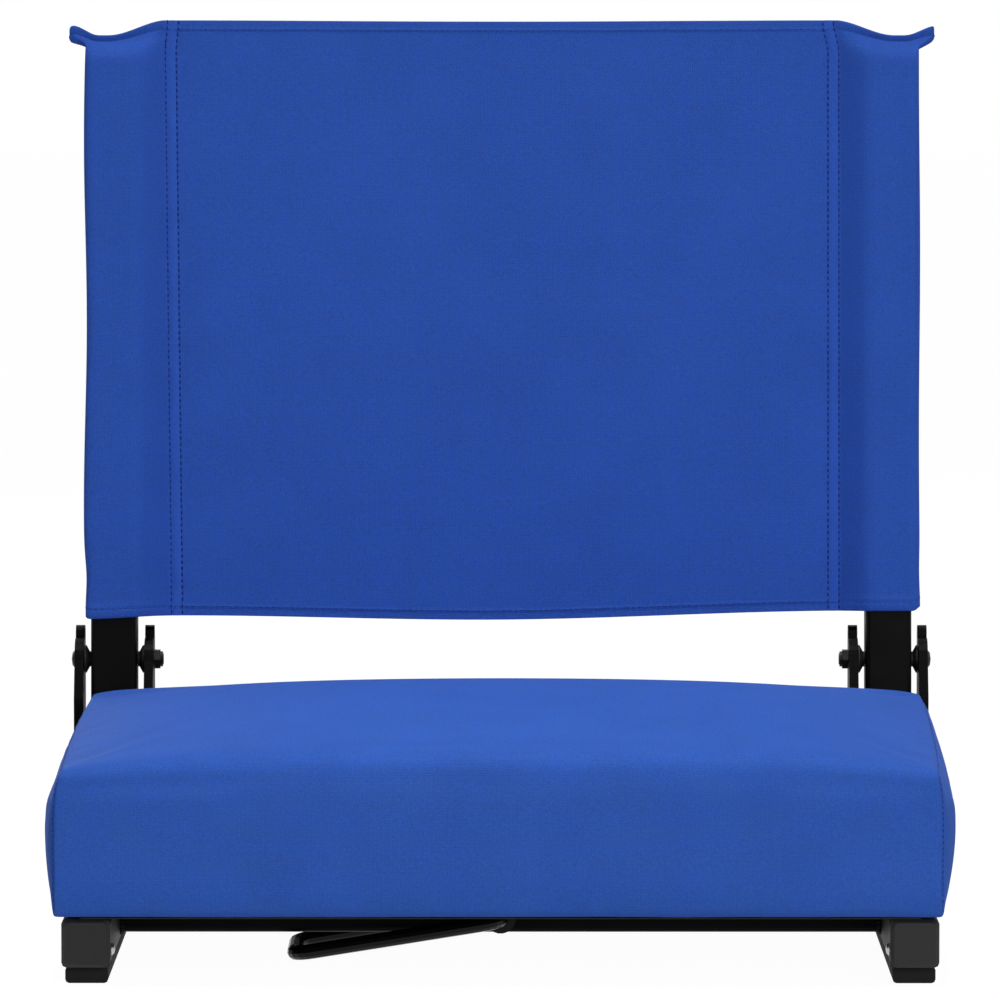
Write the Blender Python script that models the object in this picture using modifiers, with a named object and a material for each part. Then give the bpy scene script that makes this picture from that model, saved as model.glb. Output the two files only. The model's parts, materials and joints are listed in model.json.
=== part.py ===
"""Folding bleacher seat.

A padded seat on a frame of square tube, a cloth back on two posts that folds forward over
the seat, and a bench hook that swings under it. Metres, +Z up. The seat stands on z = 0 with
its front towards -Y. Left and right are as seen from the front, so left is -X.
"""

import math

import bmesh
import bpy
from mathutils import Matrix, Vector

# Places and gaps
CLEAR = 0.0003  # gap between pieces that touch
FRONT = -0.1663  # Y of the front faces of the rail end caps

# Seat rails and cross bars, square tube
RAIL_SIZE = 0.025
RAIL_INSET = 0.0149  # middle of a rail, and of the post over it, inside the side of the seat
RAIL_TAIL = 0.0252  # rail behind the hinge pivot
BAR_SIZE = 0.020
FRONT_BAR_BACK = 0.118  # from the cap faces to the middle of the bar
REAR_BAR_INSET = 0.026  # from the rear edge of the seat to the middle of the bar
TUBE_WALL = 0.0015
TUBE_INNER_CORNER = 0.001

# Plastic caps and plugs in the tube ends
CAP_FLANGE = 0.004
CAP_PLUG = 0.014
CAP_DOME = 0.0018
PLUG_FLANGE = 0.003
PLUG_DOME = 0.0008

# Rivets through the inner wall of the rails into the caps
RIVET_HEAD_RADIUS = 0.0033
RIVET_HEAD_HEIGHT = 0.0018
RIVET_RADIUS = 0.0016
RIVET_GRIP = 0.005
RIVET_BACK = 0.007  # from the cap flange
RIVET_DROP = 0.004  # below the middle of the rail

# Rubber skids under the rails
SKID_WIDTH = 0.022
SKID_HEIGHT = 0.0087
SKID_INSET = 0.010  # from the cap faces
SKID_CORNER = 0.002

# Hinge: bracket with two ears, bolt, lock nut and spacers
HINGE_GAP = 0.0017  # between the swelling of the seat and the bracket
HINGE_RISE = 0.0128  # pivot above the edge of the seat's top
EAR_THICKNESS = 0.005
WEB_THICKNESS = 0.0035  # of the web before the post and the foot on the rail
EAR_LOBE = 0.0115
EAR_BACK = 0.0125  # behind the pivot
EAR_SHOULDER = 0.020  # below the pivot, where the front edge turns down
FINGER_WIDTH = 0.0095
FINGER_RISE = 0.018  # above the pivot
WEB_TOP = 0.030  # below the pivot
BOLT_RADIUS = 0.003
BOLT_FIT = 0.00007  # radial play in the posts
BOLT_LOOSE = 0.0002  # radial play elsewhere
BOLT_HEAD_RADIUS = 0.005
BOLT_HEAD_HEIGHT = 0.0018
BOLT_END = 0.0004  # past the nut
NUT_ACROSS = 0.010
NUT_HEX = 0.0032
NUT_COLLAR = 0.0014
NUT_COLLAR_WALL = 0.0012
SPACER_LENGTH = 0.0034
SPACER_WIDE = 0.0076
SPACER_WALL = 0.0012  # at the narrow end
SPACER_RIM = 0.0008

# Back posts and the cloth on them
POST_SIZE = 0.025
RECLINE = math.radians(4)
POST_RISE = 0.3155  # tube above the pivot
POST_TAIL = 0.050  # below the pivot, plug included
CLOTH = 0.0015
CLOTH_EASE = 0.0004  # gap between the sleeve and the post
HEM_ABOVE_EARS = 0.006  # along the posts
CLOTH_ABOVE_POSTS = 0.034
SEAM_INSIDE = 0.0151  # from the post to the sleeve seam
SLEEVE_SLACK = 0.004  # sleeve beyond the outer side of the post
EAR_TIP = 0.0143  # sewn sleeve top beyond the outer side of the post
SLEEVE_DIP = 0.0085  # sleeve top below the top edge between the seams
TIP_DIP = 0.0035
PANEL_BOW = 0.002  # middle of the cloth behind the plane of the posts

# Seat
SEAT_WIDTH = 0.453
SEAT_OVERHANG = 0.015  # front of the seat before the cap faces
SEAT_DEPTH = 0.303
SEAT_TOP = 0.1262  # edge of the top, above the floor
CROWN = 0.0145
SIDE_BULGE = 0.0075
END_BULGE = 0.006  # of the front and the rear
TOP_DRAW = 0.0035  # sides drawn in at the top
FRONT_ROLL = 0.030
EDGE_ROLL = 0.020
BOTTOM_ROLL = 0.010
COVER = 0.0014
FOAM_EASE = 0.0021  # between the cover and the foam
BOARD_EASE = 0.002  # from the round lower edge of the cover to the board
BOARD_THICKNESS = 0.010
DUST_CLOTH = 0.001
DUST_CLOTH_INSET = 0.012
SCREW_SPREAD = 0.240
SCREW_RADIUS = 0.0025
SCREW_LOOSE = 0.0002
SCREW_SHORT = 0.003  # tip below the top of the board
SCREW_HEAD_RADIUS = 0.0045
SCREW_HEAD_HEIGHT = 0.003
ACCESS_PLAY = 0.001  # of the driver hole about the screw head

# Bench hook, round rod
ROD_RADIUS = 0.004
ROD_FIT = 0.0001
ROD_BEND = 0.010
HOOK_PIVOT_DROP = 0.0025  # below the middle of the front bar
HOOK_STEM = 0.109
HOOK_RETURN = 0.060
HOOK_LIP = 0.055
WASHER_RIM = 0.004  # beyond the rod
WASHER_THICKNESS = 0.0015
PUSH_NUT_RIM = 0.003
PUSH_NUT_HEIGHT = 0.005
PIN_NECK = 0.0022  # straight rod before the front washer
PIN_END = 0.0015

ROUND = 20  # sides of a turned piece
QUARTER = math.pi / 2

# Places worked out from the sizes
TUBE_CORNER = TUBE_INNER_CORNER + TUBE_WALL
RAIL_X = SEAT_WIDTH / 2 - RAIL_INSET
RAIL_BOTTOM = SKID_HEIGHT + CLEAR
RAIL_TOP = RAIL_BOTTOM + RAIL_SIZE
RAIL_MIDDLE = RAIL_BOTTOM + RAIL_SIZE / 2
RAIL_FRONT = FRONT + CAP_FLANGE + CLEAR
BAR_MIDDLE = RAIL_TOP - BAR_SIZE / 2
SEAT_FRONT = FRONT - SEAT_OVERHANG
SEAT_MIDDLE = SEAT_FRONT + SEAT_DEPTH / 2
SEAT_REAR = SEAT_FRONT + SEAT_DEPTH
BAR_PLACES = {"front": FRONT + FRONT_BAR_BACK, "rear": SEAT_REAR - REAR_BAR_INSET}
DUST_BOTTOM = RAIL_TOP + CLEAR
SEAT_BOTTOM = DUST_BOTTOM + DUST_CLOTH + CLEAR
BOARD_BOTTOM = SEAT_BOTTOM + COVER + CLEAR
BOARD_CORNER = max(FRONT_ROLL, EDGE_ROLL)
BOARD_INSET = BOARD_CORNER / 2 + BOARD_EASE
FOAM_BOTTOM = BOARD_BOTTOM + BOARD_THICKNESS + CLEAR
# The web stands before the pivot, where the lower front corner of the reclined post meets it
WEB_FACE = POST_SIZE / 2 * math.cos(RECLINE) + POST_TAIL * math.sin(RECLINE) + CLEAR
EAR_GAP = POST_SIZE + 2 * SPACER_LENGTH + 4 * CLEAR
PIVOT = Vector((0, SEAT_REAR + END_BULGE + HINGE_GAP + WEB_THICKNESS + WEB_FACE, SEAT_TOP + HINGE_RISE))
RAIL_REAR = PIVOT.y + RAIL_TAIL
CLOTH_BOTTOM = FINGER_RISE + HEM_ABOVE_EARS
CLOTH_TOP = POST_RISE + CLOTH_ABOVE_POSTS
SLEEVE_OPEN = POST_RISE + 2 * CLEAR + PLUG_FLANGE  # height where the sleeves start to close
HOOK_PIVOT = Vector((0, BAR_PLACES["front"], BAR_MIDDLE - HOOK_PIVOT_DROP))
HOOK_REACH = BAR_SIZE / 2 + CLEAR + WASHER_THICKNESS + PIN_NECK + ROD_BEND  # stem before the bar's middle
HOOK_DROP = math.asin((HOOK_PIVOT.z - ROD_RADIUS - CLEAR) / HOOK_STEM)

SIDES = {"left": -1, "right": 1}


def clear_scene():
    for old in list(bpy.data.objects):
        bpy.data.objects.remove(old)


def new_collection(name):
    collection = bpy.data.collections.new(name)
    bpy.context.scene.collection.children.link(collection)
    return collection


def finish(name, colour, roughness, metallic=0.0):
    material = bpy.data.materials.new(name)
    material.use_nodes = True
    shader = material.node_tree.nodes["Principled BSDF"]
    shader.inputs["Base Color"].default_value = (*colour, 1)
    shader.inputs["Roughness"].default_value = roughness
    shader.inputs["Metallic"].default_value = metallic
    return material


clear_scene()
parts = new_collection("folding_bleacher_seat")
cutters = new_collection("cutters")

BLACK_PAINT = finish("black_paint", (0.008, 0.008, 0.008), 0.35)
BLACK_STEEL = finish("black_steel", (0.012, 0.012, 0.012), 0.3, 0.6)
BRIGHT_STEEL = finish("bright_steel", (0.45, 0.45, 0.45), 0.35, 1.0)
BLACK_PLASTIC = finish("black_plastic", (0.026, 0.026, 0.027), 0.55)
BLACK_RUBBER = finish("black_rubber", (0.014, 0.014, 0.014), 0.8)
BLUE_CLOTH = finish("blue_cloth", (0.028, 0.083, 0.38), 0.85)
BLACK_CLOTH = finish("black_cloth", (0.012, 0.012, 0.013), 0.95)
FOAM = finish("foam", (0.75, 0.68, 0.5), 0.95)
PLYWOOD = finish("plywood", (0.5, 0.36, 0.2), 0.7)


def place(name, data, material, location=(0, 0, 0), rotation=(0, 0, 0), parent=None):
    """A piece of the seat, in its own object."""
    piece = bpy.data.objects.new(name, data)
    parts.objects.link(piece)
    data.materials.append(material)
    piece.parent = parent
    piece.location = location
    piece.rotation_euler = rotation
    return piece


def place_cutter(name, data, location=(0, 0, 0), rotation=(0, 0, 0), parent=None):
    tool = bpy.data.objects.new(name, data)
    cutters.objects.link(tool)
    tool.parent = parent
    tool.location = location
    tool.rotation_euler = rotation
    tool.hide_render = True
    tool.display_type = "WIRE"
    return tool


def combine(piece, tool, operation):
    modifier = piece.modifiers.new(operation.lower(), "BOOLEAN")
    modifier.operation = operation
    modifier.object = tool


def place_pivot(name, location, rotation):
    pivot = bpy.data.objects.new(name, None)
    parts.objects.link(pivot)
    pivot.location = location
    pivot.rotation_euler = rotation
    return pivot


def mesh_from(bm, name):
    mesh = bpy.data.meshes.new(name)
    bmesh.ops.recalc_face_normals(bm, faces=bm.faces)
    bm.to_mesh(mesh)
    bm.free()
    return mesh


def arc(centre, radius, start, end, steps):
    """Points of an arc about centre, from the angle start to the angle end."""
    angles = [start + (end - start) * i / steps for i in range(steps + 1)]
    return [(centre[0] + radius * math.cos(a), centre[1] + radius * math.sin(a)) for a in angles]


def rounded_box_outline(width, height, radius, steps=2):
    """Rectangle with round corners about the origin, anticlockwise."""
    x = width / 2 - radius
    y = height / 2 - radius
    outline = []
    for turn, (corner_x, corner_y) in enumerate([(x, y), (-x, y), (-x, -y), (x, -y)]):
        outline += arc((corner_x, corner_y), radius, turn * QUARTER, (turn + 1) * QUARTER, steps)
    return outline


def extruded(name, outlines, depth):
    """Flat outlines in the XY plane, drawn out along Z, half of depth each way."""
    curve = bpy.data.curves.new(name, "CURVE")
    curve.dimensions = "2D"
    curve.fill_mode = "BOTH"
    curve.extrude = depth / 2
    for outline in outlines:
        spline = curve.splines.new("POLY")
        spline.points.add(len(outline) - 1)
        spline.use_cyclic_u = True
        for point, (x, y) in zip(spline.points, outline):
            point.co = (x, y, 0, 1)
    guide = bpy.data.objects.new(name, curve)
    bpy.context.scene.collection.objects.link(guide)
    graph = bpy.context.evaluated_depsgraph_get()
    flat = bpy.data.meshes.new_from_object(guide.evaluated_get(graph))
    bpy.data.objects.remove(guide)
    bm = bmesh.new()
    bm.from_mesh(flat)
    bmesh.ops.remove_doubles(bm, verts=bm.verts, dist=0.000001)
    return mesh_from(bm, name)


def square_tube(name, size, length):
    bore = size - 2 * TUBE_WALL
    outer = rounded_box_outline(size, size, TUBE_CORNER)
    inner = rounded_box_outline(bore, bore, TUBE_INNER_CORNER)
    return extruded(name, [outer, inner], length)


def lofted(name, rings):
    """Closed skin over rings of points that run the same way round."""
    bm = bmesh.new()
    loops = [[bm.verts.new(point) for point in ring] for ring in rings]
    for low, high in zip(loops, loops[1:]):
        for i in range(len(low)):
            j = (i + 1) % len(low)
            bm.faces.new((low[i], low[j], high[j], high[i]))
    bm.faces.new(loops[0])
    bm.faces.new(loops[-1])
    bmesh.ops.triangulate(bm, faces=[face for face in bm.faces if len(face.verts) > 4])
    return mesh_from(bm, name)


def cylinder(name, radius, depth, sides=ROUND):
    bm = bmesh.new()
    bmesh.ops.create_cone(
        bm, cap_ends=True, segments=sides, radius1=radius, radius2=radius, depth=depth
    )
    return mesh_from(bm, name)


def hole_radius(radius, play, sides=ROUND):
    """Radius of a faceted hole whose flats clear a round piece by the play."""
    return (radius + play) / math.cos(math.pi / sides)


def domed(radius, height):
    """Outer side of a low round head, from its top to its rim, as (radius, height) points."""
    shoulder = math.sqrt(0.5)
    return [(0, height), (radius * shoulder, height * shoulder), (radius, 0)]


def profile_mesh(name, profile, closed):
    """Edges of a turned profile, as (radius, height) points running down the outer side."""
    mesh = bpy.data.meshes.new(name)
    points = [(radius, 0, height) for radius, height in profile]
    edges = [(i, i + 1) for i in range(len(points) - 1)]
    if closed:
        edges.append((len(points) - 1, 0))
    mesh.from_pydata(points, edges, [])
    return mesh


def turn(piece):
    """Turn a profile about the object's own Z axis."""
    modifier = piece.modifiers.new("turn", "SCREW")
    modifier.steps = ROUND
    modifier.render_steps = ROUND
    modifier.use_merge_vertices = True
    modifier.merge_threshold = 0.00001
    return piece


def turned(name, profile, material, location, rotation=(0, 0, 0), parent=None, closed=False):
    data = profile_mesh(name, profile, closed)
    return turn(place(name, data, material, location, rotation, parent))


def along_x(sign):
    """Rotation that points an object's own +Z along +X or -X."""
    return (0, sign * QUARTER, 0)


ALONG_BAR = (QUARTER, 0, QUARTER)  # own X, Y, Z to world Y, Z, X
ALONG_RAIL = (QUARTER, 0, 0)  # own X, Y, Z to world X, Z, -Y


def end_cap_rings(tube, flange, dome):
    """Rings of a cap from its outer face, at z = 0, down to the end of its plug."""
    bore = tube - 2 * TUBE_WALL - 2 * CLEAR
    steps = [
        (tube - 2 * dome, TUBE_CORNER, 0),
        (tube, TUBE_CORNER, -dome),
        (tube, TUBE_CORNER, -flange),
        (bore, TUBE_INNER_CORNER, -flange),
        (bore, TUBE_INNER_CORNER, -flange - CAP_PLUG),
    ]
    rings = []
    for side, radius, height in steps:
        outline = rounded_box_outline(side, side, radius)
        rings.append([(x, y, height) for x, y in outline])
    return rings


def make_rails():
    for side, sign in SIDES.items():
        middle = (sign * RAIL_X, (RAIL_FRONT + RAIL_REAR) / 2, RAIL_MIDDLE)
        tube = square_tube(f"{side}_rail", RAIL_SIZE, RAIL_REAR - RAIL_FRONT)
        rail = place(f"{side}_rail", tube, BLACK_PAINT, middle, ALONG_RAIL)
        skid_length = RAIL_REAR - FRONT - 2 * SKID_INSET
        outline = rounded_box_outline(SKID_WIDTH, SKID_HEIGHT, SKID_CORNER)
        strip = extruded(f"{side}_skid", [outline], skid_length)
        skid_middle = (sign * RAIL_X, FRONT + SKID_INSET + skid_length / 2, SKID_HEIGHT / 2)
        place(f"{side}_skid", strip, BLACK_RUBBER, skid_middle, ALONG_RAIL)
        make_rail_cap("front", side, rail)
        make_rail_cap("rear", side, rail)


def make_rail_cap(end, side, rail):
    """End cap of a rail, with the rivet that holds it from the inner side."""
    sign = SIDES[side]
    face = FRONT if end == "front" else RAIL_REAR + CLEAR + CAP_FLANGE
    inwards = 1 if end == "front" else -1
    cap_mesh = lofted(f"{end}_{side}_cap", end_cap_rings(RAIL_SIZE, CAP_FLANGE, CAP_DOME))
    cap_place = (sign * RAIL_X, face, RAIL_MIDDLE)
    cap = place(f"{end}_{side}_cap", cap_mesh, BLACK_PLASTIC, cap_place, (inwards * QUARTER, 0, 0))

    seat = (
        sign * (RAIL_X - RAIL_SIZE / 2 - CLEAR),
        face + inwards * (CAP_FLANGE + RIVET_BACK),
        RAIL_MIDDLE - RIVET_DROP,
    )
    name = f"{end}_{side}_rivet"
    profile = domed(RIVET_HEAD_RADIUS, RIVET_HEAD_HEIGHT)
    profile += [(RIVET_RADIUS, 0), (RIVET_RADIUS, -RIVET_GRIP), (0, -RIVET_GRIP)]
    turned(name, profile, BRIGHT_STEEL, seat, along_x(-sign))
    bore = cylinder(name + "_hole", hole_radius(RIVET_RADIUS, CLEAR), 2 * (RIVET_GRIP + CLEAR))
    hole = place_cutter(name + "_hole", bore, seat, along_x(-sign))
    combine(cap, hole, "DIFFERENCE")
    combine(rail, hole, "DIFFERENCE")


def make_bars():
    """Cross bars between the rails, with the screws that hold the seat board to them."""
    length = 2 * (RAIL_X - CLEAR) - RAIL_SIZE
    bars = {}
    for end, y in BAR_PLACES.items():
        tube = square_tube(f"{end}_cross_bar", BAR_SIZE, length)
        bars[end] = place(f"{end}_cross_bar", tube, BLACK_PAINT, (0, y, BAR_MIDDLE), ALONG_BAR)
    bore = cylinder("hook_pin_hole", hole_radius(ROD_RADIUS, ROD_FIT), 2 * BAR_SIZE)
    hole = place_cutter("hook_pin_hole", bore, HOOK_PIVOT, (QUARTER, 0, 0))
    combine(bars["front"], hole, "DIFFERENCE")
    return bars


def make_seat_screws(bars, board, dust_cloth):
    """Screws whose heads sit inside the bars, under the top wall."""
    wall_face = RAIL_TOP - TUBE_WALL - CLEAR
    tip = BOARD_BOTTOM + BOARD_THICKNESS - SCREW_SHORT - wall_face
    profile = [
        (0, tip),
        (SCREW_RADIUS, tip - SCREW_RADIUS),
        (SCREW_RADIUS, 0),
        (SCREW_HEAD_RADIUS, 0),
        (SCREW_HEAD_RADIUS, -SCREW_HEAD_HEIGHT),
        (0, -SCREW_HEAD_HEIGHT),
    ]
    shank = hole_radius(SCREW_RADIUS, SCREW_LOOSE)
    access = SCREW_HEAD_RADIUS + ACCESS_PLAY
    hole_profile = [
        (0, tip + CLEAR),
        (shank, tip + CLEAR),
        (shank, -TUBE_WALL),
        (access, -TUBE_WALL),
        (access, -2 * BAR_SIZE),
        (0, -2 * BAR_SIZE),
    ]
    for end, y in BAR_PLACES.items():
        for side, sign in SIDES.items():
            name = f"{end}_{side}_seat_screw"
            under_wall = (sign * SCREW_SPREAD / 2, y, wall_face)
            turned(name, profile, BRIGHT_STEEL, under_wall)
            hole = place_cutter(name + "_hole", profile_mesh(name, hole_profile, False), under_wall)
            turn(hole)
            for piece in (bars[end], board, dust_cloth):
                combine(piece, hole, "DIFFERENCE")


def bracket_outline(foot):
    """Side view of a hinge bracket about the pivot, as (Y, Z) points."""
    front = -WEB_FACE - WEB_THICKNESS
    finger_front = EAR_BACK - FINGER_WIDTH
    tip = FINGER_WIDTH / 2
    crook = math.acos(finger_front / EAR_LOBE)
    outline = [(front, foot), (EAR_BACK, foot)]
    outline += arc((EAR_BACK - tip, FINGER_RISE - tip), tip, 0, math.pi, 6)
    outline += arc((0, 0), EAR_LOBE, crook, math.pi, 7)
    outline.append((front, -EAR_SHOULDER))
    return outline


def make_brackets():
    """Hinge brackets on the rails: two ears, a foot, and a web before the post."""
    foot = RAIL_TOP + CLEAR - PIVOT.z
    beyond = EAR_LOBE + FINGER_RISE + EAR_BACK + WEB_FACE
    slot_outline = [
        (-WEB_FACE, foot + WEB_THICKNESS),
        (beyond, foot + WEB_THICKNESS),
        (beyond, beyond),
        (-beyond, beyond),
        (-beyond, -WEB_TOP),
        (-WEB_FACE, -WEB_TOP),
    ]
    for side, sign in SIDES.items():
        pivot = (sign * RAIL_X, PIVOT.y, PIVOT.z)
        blank = extruded(f"{side}_hinge_bracket", [bracket_outline(foot)], EAR_GAP + 2 * EAR_THICKNESS)
        bracket = place(f"{side}_hinge_bracket", blank, BLACK_PAINT, pivot, ALONG_BAR)
        slot = extruded(f"{side}_post_slot", [slot_outline], EAR_GAP)
        combine(bracket, place_cutter(f"{side}_post_slot", slot, pivot, ALONG_BAR), "DIFFERENCE")
        bore = cylinder(f"{side}_ear_hole", hole_radius(BOLT_RADIUS, BOLT_LOOSE), 2 * EAR_GAP)
        combine(bracket, place_cutter(f"{side}_ear_hole", bore, pivot, along_x(1)), "DIFFERENCE")


def make_hinge_fasteners():
    """Bolt with its head outside, lock nut inside and a tapered spacer on each side of the post."""
    ear_face = EAR_GAP / 2 + EAR_THICKNESS + CLEAR
    nut_height = NUT_HEX + NUT_COLLAR
    bolt_length = 2 * ear_face + nut_height + BOLT_END
    bolt_profile = domed(BOLT_HEAD_RADIUS, BOLT_HEAD_HEIGHT)
    bolt_profile += [(BOLT_RADIUS, 0), (BOLT_RADIUS, -bolt_length), (0, -bolt_length)]
    bore = hole_radius(BOLT_RADIUS, BOLT_LOOSE)
    narrow = BOLT_RADIUS + SPACER_WALL
    spacer_profile = [
        (bore, SPACER_LENGTH),
        (SPACER_WIDE, SPACER_LENGTH),
        (SPACER_WIDE, SPACER_LENGTH - SPACER_RIM),
        (narrow, SPACER_RIM),
        (narrow, 0),
        (bore, 0),
    ]
    for side, sign in SIDES.items():
        rail_x = sign * RAIL_X
        head = (rail_x + sign * ear_face, PIVOT.y, PIVOT.z)
        turned(f"{side}_hinge_bolt", bolt_profile, BLACK_STEEL, head, along_x(sign))
        make_lock_nut(side, (rail_x - sign * ear_face, PIVOT.y, PIVOT.z), bore)
        for part, outwards in (("outer", sign), ("inner", -sign)):
            seat = (rail_x + outwards * (POST_SIZE / 2 + CLEAR), PIVOT.y, PIVOT.z)
            name = f"{side}_{part}_spacer"
            turned(name, spacer_profile, BLACK_PLASTIC, seat, along_x(outwards), closed=True)


def make_lock_nut(side, seat, bore):
    """Hexagon nut with a round locking collar, its height along its own +Z."""
    facing = along_x(-SIDES[side])
    hexagon = cylinder(f"{side}_lock_nut", NUT_ACROSS / 2 / math.cos(math.pi / 6), NUT_HEX, 6)
    hexagon.transform(Matrix.Translation((0, 0, NUT_HEX / 2)))
    nut = place(f"{side}_lock_nut", hexagon, BLACK_STEEL, seat, facing)
    collar = cylinder(f"{side}_nut_collar", BOLT_RADIUS + NUT_COLLAR_WALL, 2 * NUT_COLLAR)
    collar.transform(Matrix.Translation((0, 0, NUT_HEX)))
    combine(nut, place_cutter(f"{side}_nut_collar", collar, seat, facing), "UNION")
    thread = cylinder(f"{side}_nut_bore", bore, 4 * (NUT_HEX + NUT_COLLAR))
    combine(nut, place_cutter(f"{side}_nut_bore", thread, seat, facing), "DIFFERENCE")


def make_posts(pivot):
    """Back posts with their end plugs, in the frame of the back's pivot."""
    low = PLUG_FLANGE + CLEAR - POST_TAIL
    for side, sign in SIDES.items():
        x = sign * RAIL_X
        tube = square_tube(f"{side}_post", POST_SIZE, POST_RISE - low)
        post = place(f"{side}_post", tube, BLACK_PAINT, (x, 0, (POST_RISE + low) / 2), parent=pivot)
        bore = cylinder(f"{side}_post_hole", hole_radius(BOLT_RADIUS, BOLT_FIT), 2 * POST_SIZE)
        hole = place_cutter(f"{side}_post_hole", bore, (x, 0, 0), along_x(1), pivot)
        combine(post, hole, "DIFFERENCE")
        rings = end_cap_rings(POST_SIZE, PLUG_FLANGE, PLUG_DOME)
        top = (x, 0, POST_RISE + CLEAR + PLUG_FLANGE)
        upper = lofted(f"{side}_post_top_plug", rings)
        place(f"{side}_post_top_plug", upper, BLACK_PLASTIC, top, parent=pivot)
        foot = lofted(f"{side}_post_foot_plug", rings)
        place(f"{side}_post_foot_plug", foot, BLACK_PLASTIC, (x, 0, -POST_TAIL), (math.pi, 0, 0), pivot)


# Steps of the cloth back's surface, as shares: across the panel between the seams, up the sleeves,
# and over the stretch where a sleeve closes to its sewn top, which flattens and then flares out
PANEL_STEPS = (0, 0.35, 0.7, 0.965, 1)
SLEEVE_STEPS = 3
SLEEVE_EDGE_DEPTH = 0.5  # of the sleeve's half depth, at its outer edge
CLOSING_STEPS = (0.3, 0.58, 0.65, 0.72, 0.86, 1)
FLAT_AT = 0.85
FLARE_FROM = 0.58
FLARE_TO = 0.72
DIP_AT = 0.45  # across the sleeve from its seam
TIP_FROM = 0.62


def sleeve_stations():
    """Half width of the cloth from its middle outwards, as (open x, flat x, half depth)."""
    inner = RAIL_X - POST_SIZE / 2
    outer = RAIL_X + POST_SIZE / 2
    seam = inner - SEAM_INSIDE
    deep = POST_SIZE / 2 + CLOTH_EASE + CLOTH
    edge = outer + SLEEVE_SLACK
    tip = outer + EAR_TIP
    stations = [(seam * share, seam * share, CLOTH) for share in PANEL_STEPS]
    sleeve = [
        (inner - CLOTH, deep),
        (RAIL_X, deep),
        (outer + CLOTH_EASE, deep),
        (edge, deep * SLEEVE_EDGE_DEPTH),
    ]
    for x, depth in sleeve:
        flat = seam + (x - seam) * (tip - seam) / (edge - seam)
        stations.append((x, flat, depth))
    return stations


def ease(value):
    """Smooth step from 0 to 1."""
    value = min(max(value, 0), 1)
    return value * value * (3 - 2 * value)


def cloth_ring(stations, height, closing):
    """One level of the cloth: closing runs from 0, sleeves open, to 1, their sewn top edge."""
    seam = stations[len(PANEL_STEPS) - 1][0]
    edge = stations[-1][0]
    flat_share = ease(closing / FLAT_AT)
    flare = ease((closing - FLARE_FROM) / (FLARE_TO - FLARE_FROM))
    front = []
    back = []
    for x, flat, depth in stations:
        across = max(x - seam, 0) / (edge - seam)
        lift = ease((across - TIP_FROM) / (1 - TIP_FROM))
        dip = SLEEVE_DIP * ease(across / DIP_AT) - (SLEEVE_DIP - TIP_DIP) * lift
        if closing > 0:
            level = SLEEVE_OPEN + closing * (CLOTH_TOP - dip - SLEEVE_OPEN)
        else:
            level = height
        bow = PANEL_BOW * (1 - min(x / seam, 1) ** 2)
        wide = x + (flat - x) * flare
        thick = depth + (CLOTH - depth) * flat_share
        front.append((wide, bow - thick, level))
        back.append((wide, bow + thick, level))
    right = front + back[::-1]
    left_front = [(-x, y, z) for x, y, z in front[:0:-1]]
    left_back = [(-x, y, z) for x, y, z in back[1:]]
    return left_front + right + left_back


def make_cloth_back(pivot):
    """Cloth between the posts, with a sleeve sewn over each and closed flat at its top."""
    stations = sleeve_stations()
    span = SLEEVE_OPEN - CLOTH_BOTTOM
    levels = [(CLOTH_BOTTOM + span * step / SLEEVE_STEPS, 0) for step in range(SLEEVE_STEPS + 1)]
    levels += [(SLEEVE_OPEN, closing) for closing in CLOSING_STEPS]
    rings = [cloth_ring(stations, height, closing) for height, closing in levels]
    back = place("cloth_back", lofted("cloth_back", rings), BLUE_CLOTH, parent=pivot)

    inner = POST_SIZE / 2 + CLOTH_EASE
    wedge = -POST_SIZE / 2 - SEAM_INSIDE + 3 * CLOTH
    pocket = [
        (wedge, 0),
        (-inner, -inner),
        (inner, -inner),
        (inner + CLOTH, 0),
        (inner, inner),
        (-inner, inner),
    ]
    depth = SLEEVE_OPEN + CLOTH_BOTTOM
    for side, sign in SIDES.items():
        outline = [(sign * x, y) for x, y in pocket]
        hollow = extruded(f"{side}_sleeve_hollow", [outline], depth)
        middle = (sign * RAIL_X, 0, SLEEVE_OPEN - depth / 2)
        tool = place_cutter(f"{side}_sleeve_hollow", hollow, middle, parent=pivot)
        combine(back, tool, "DIFFERENCE")


# Places of the seat cage's inner cuts, as shares of its half width, half depth and height
CAGE_ACROSS = 0.38
CAGE_ALONG = (-0.3, 0.4)
CAGE_UP = 0.5


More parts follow.
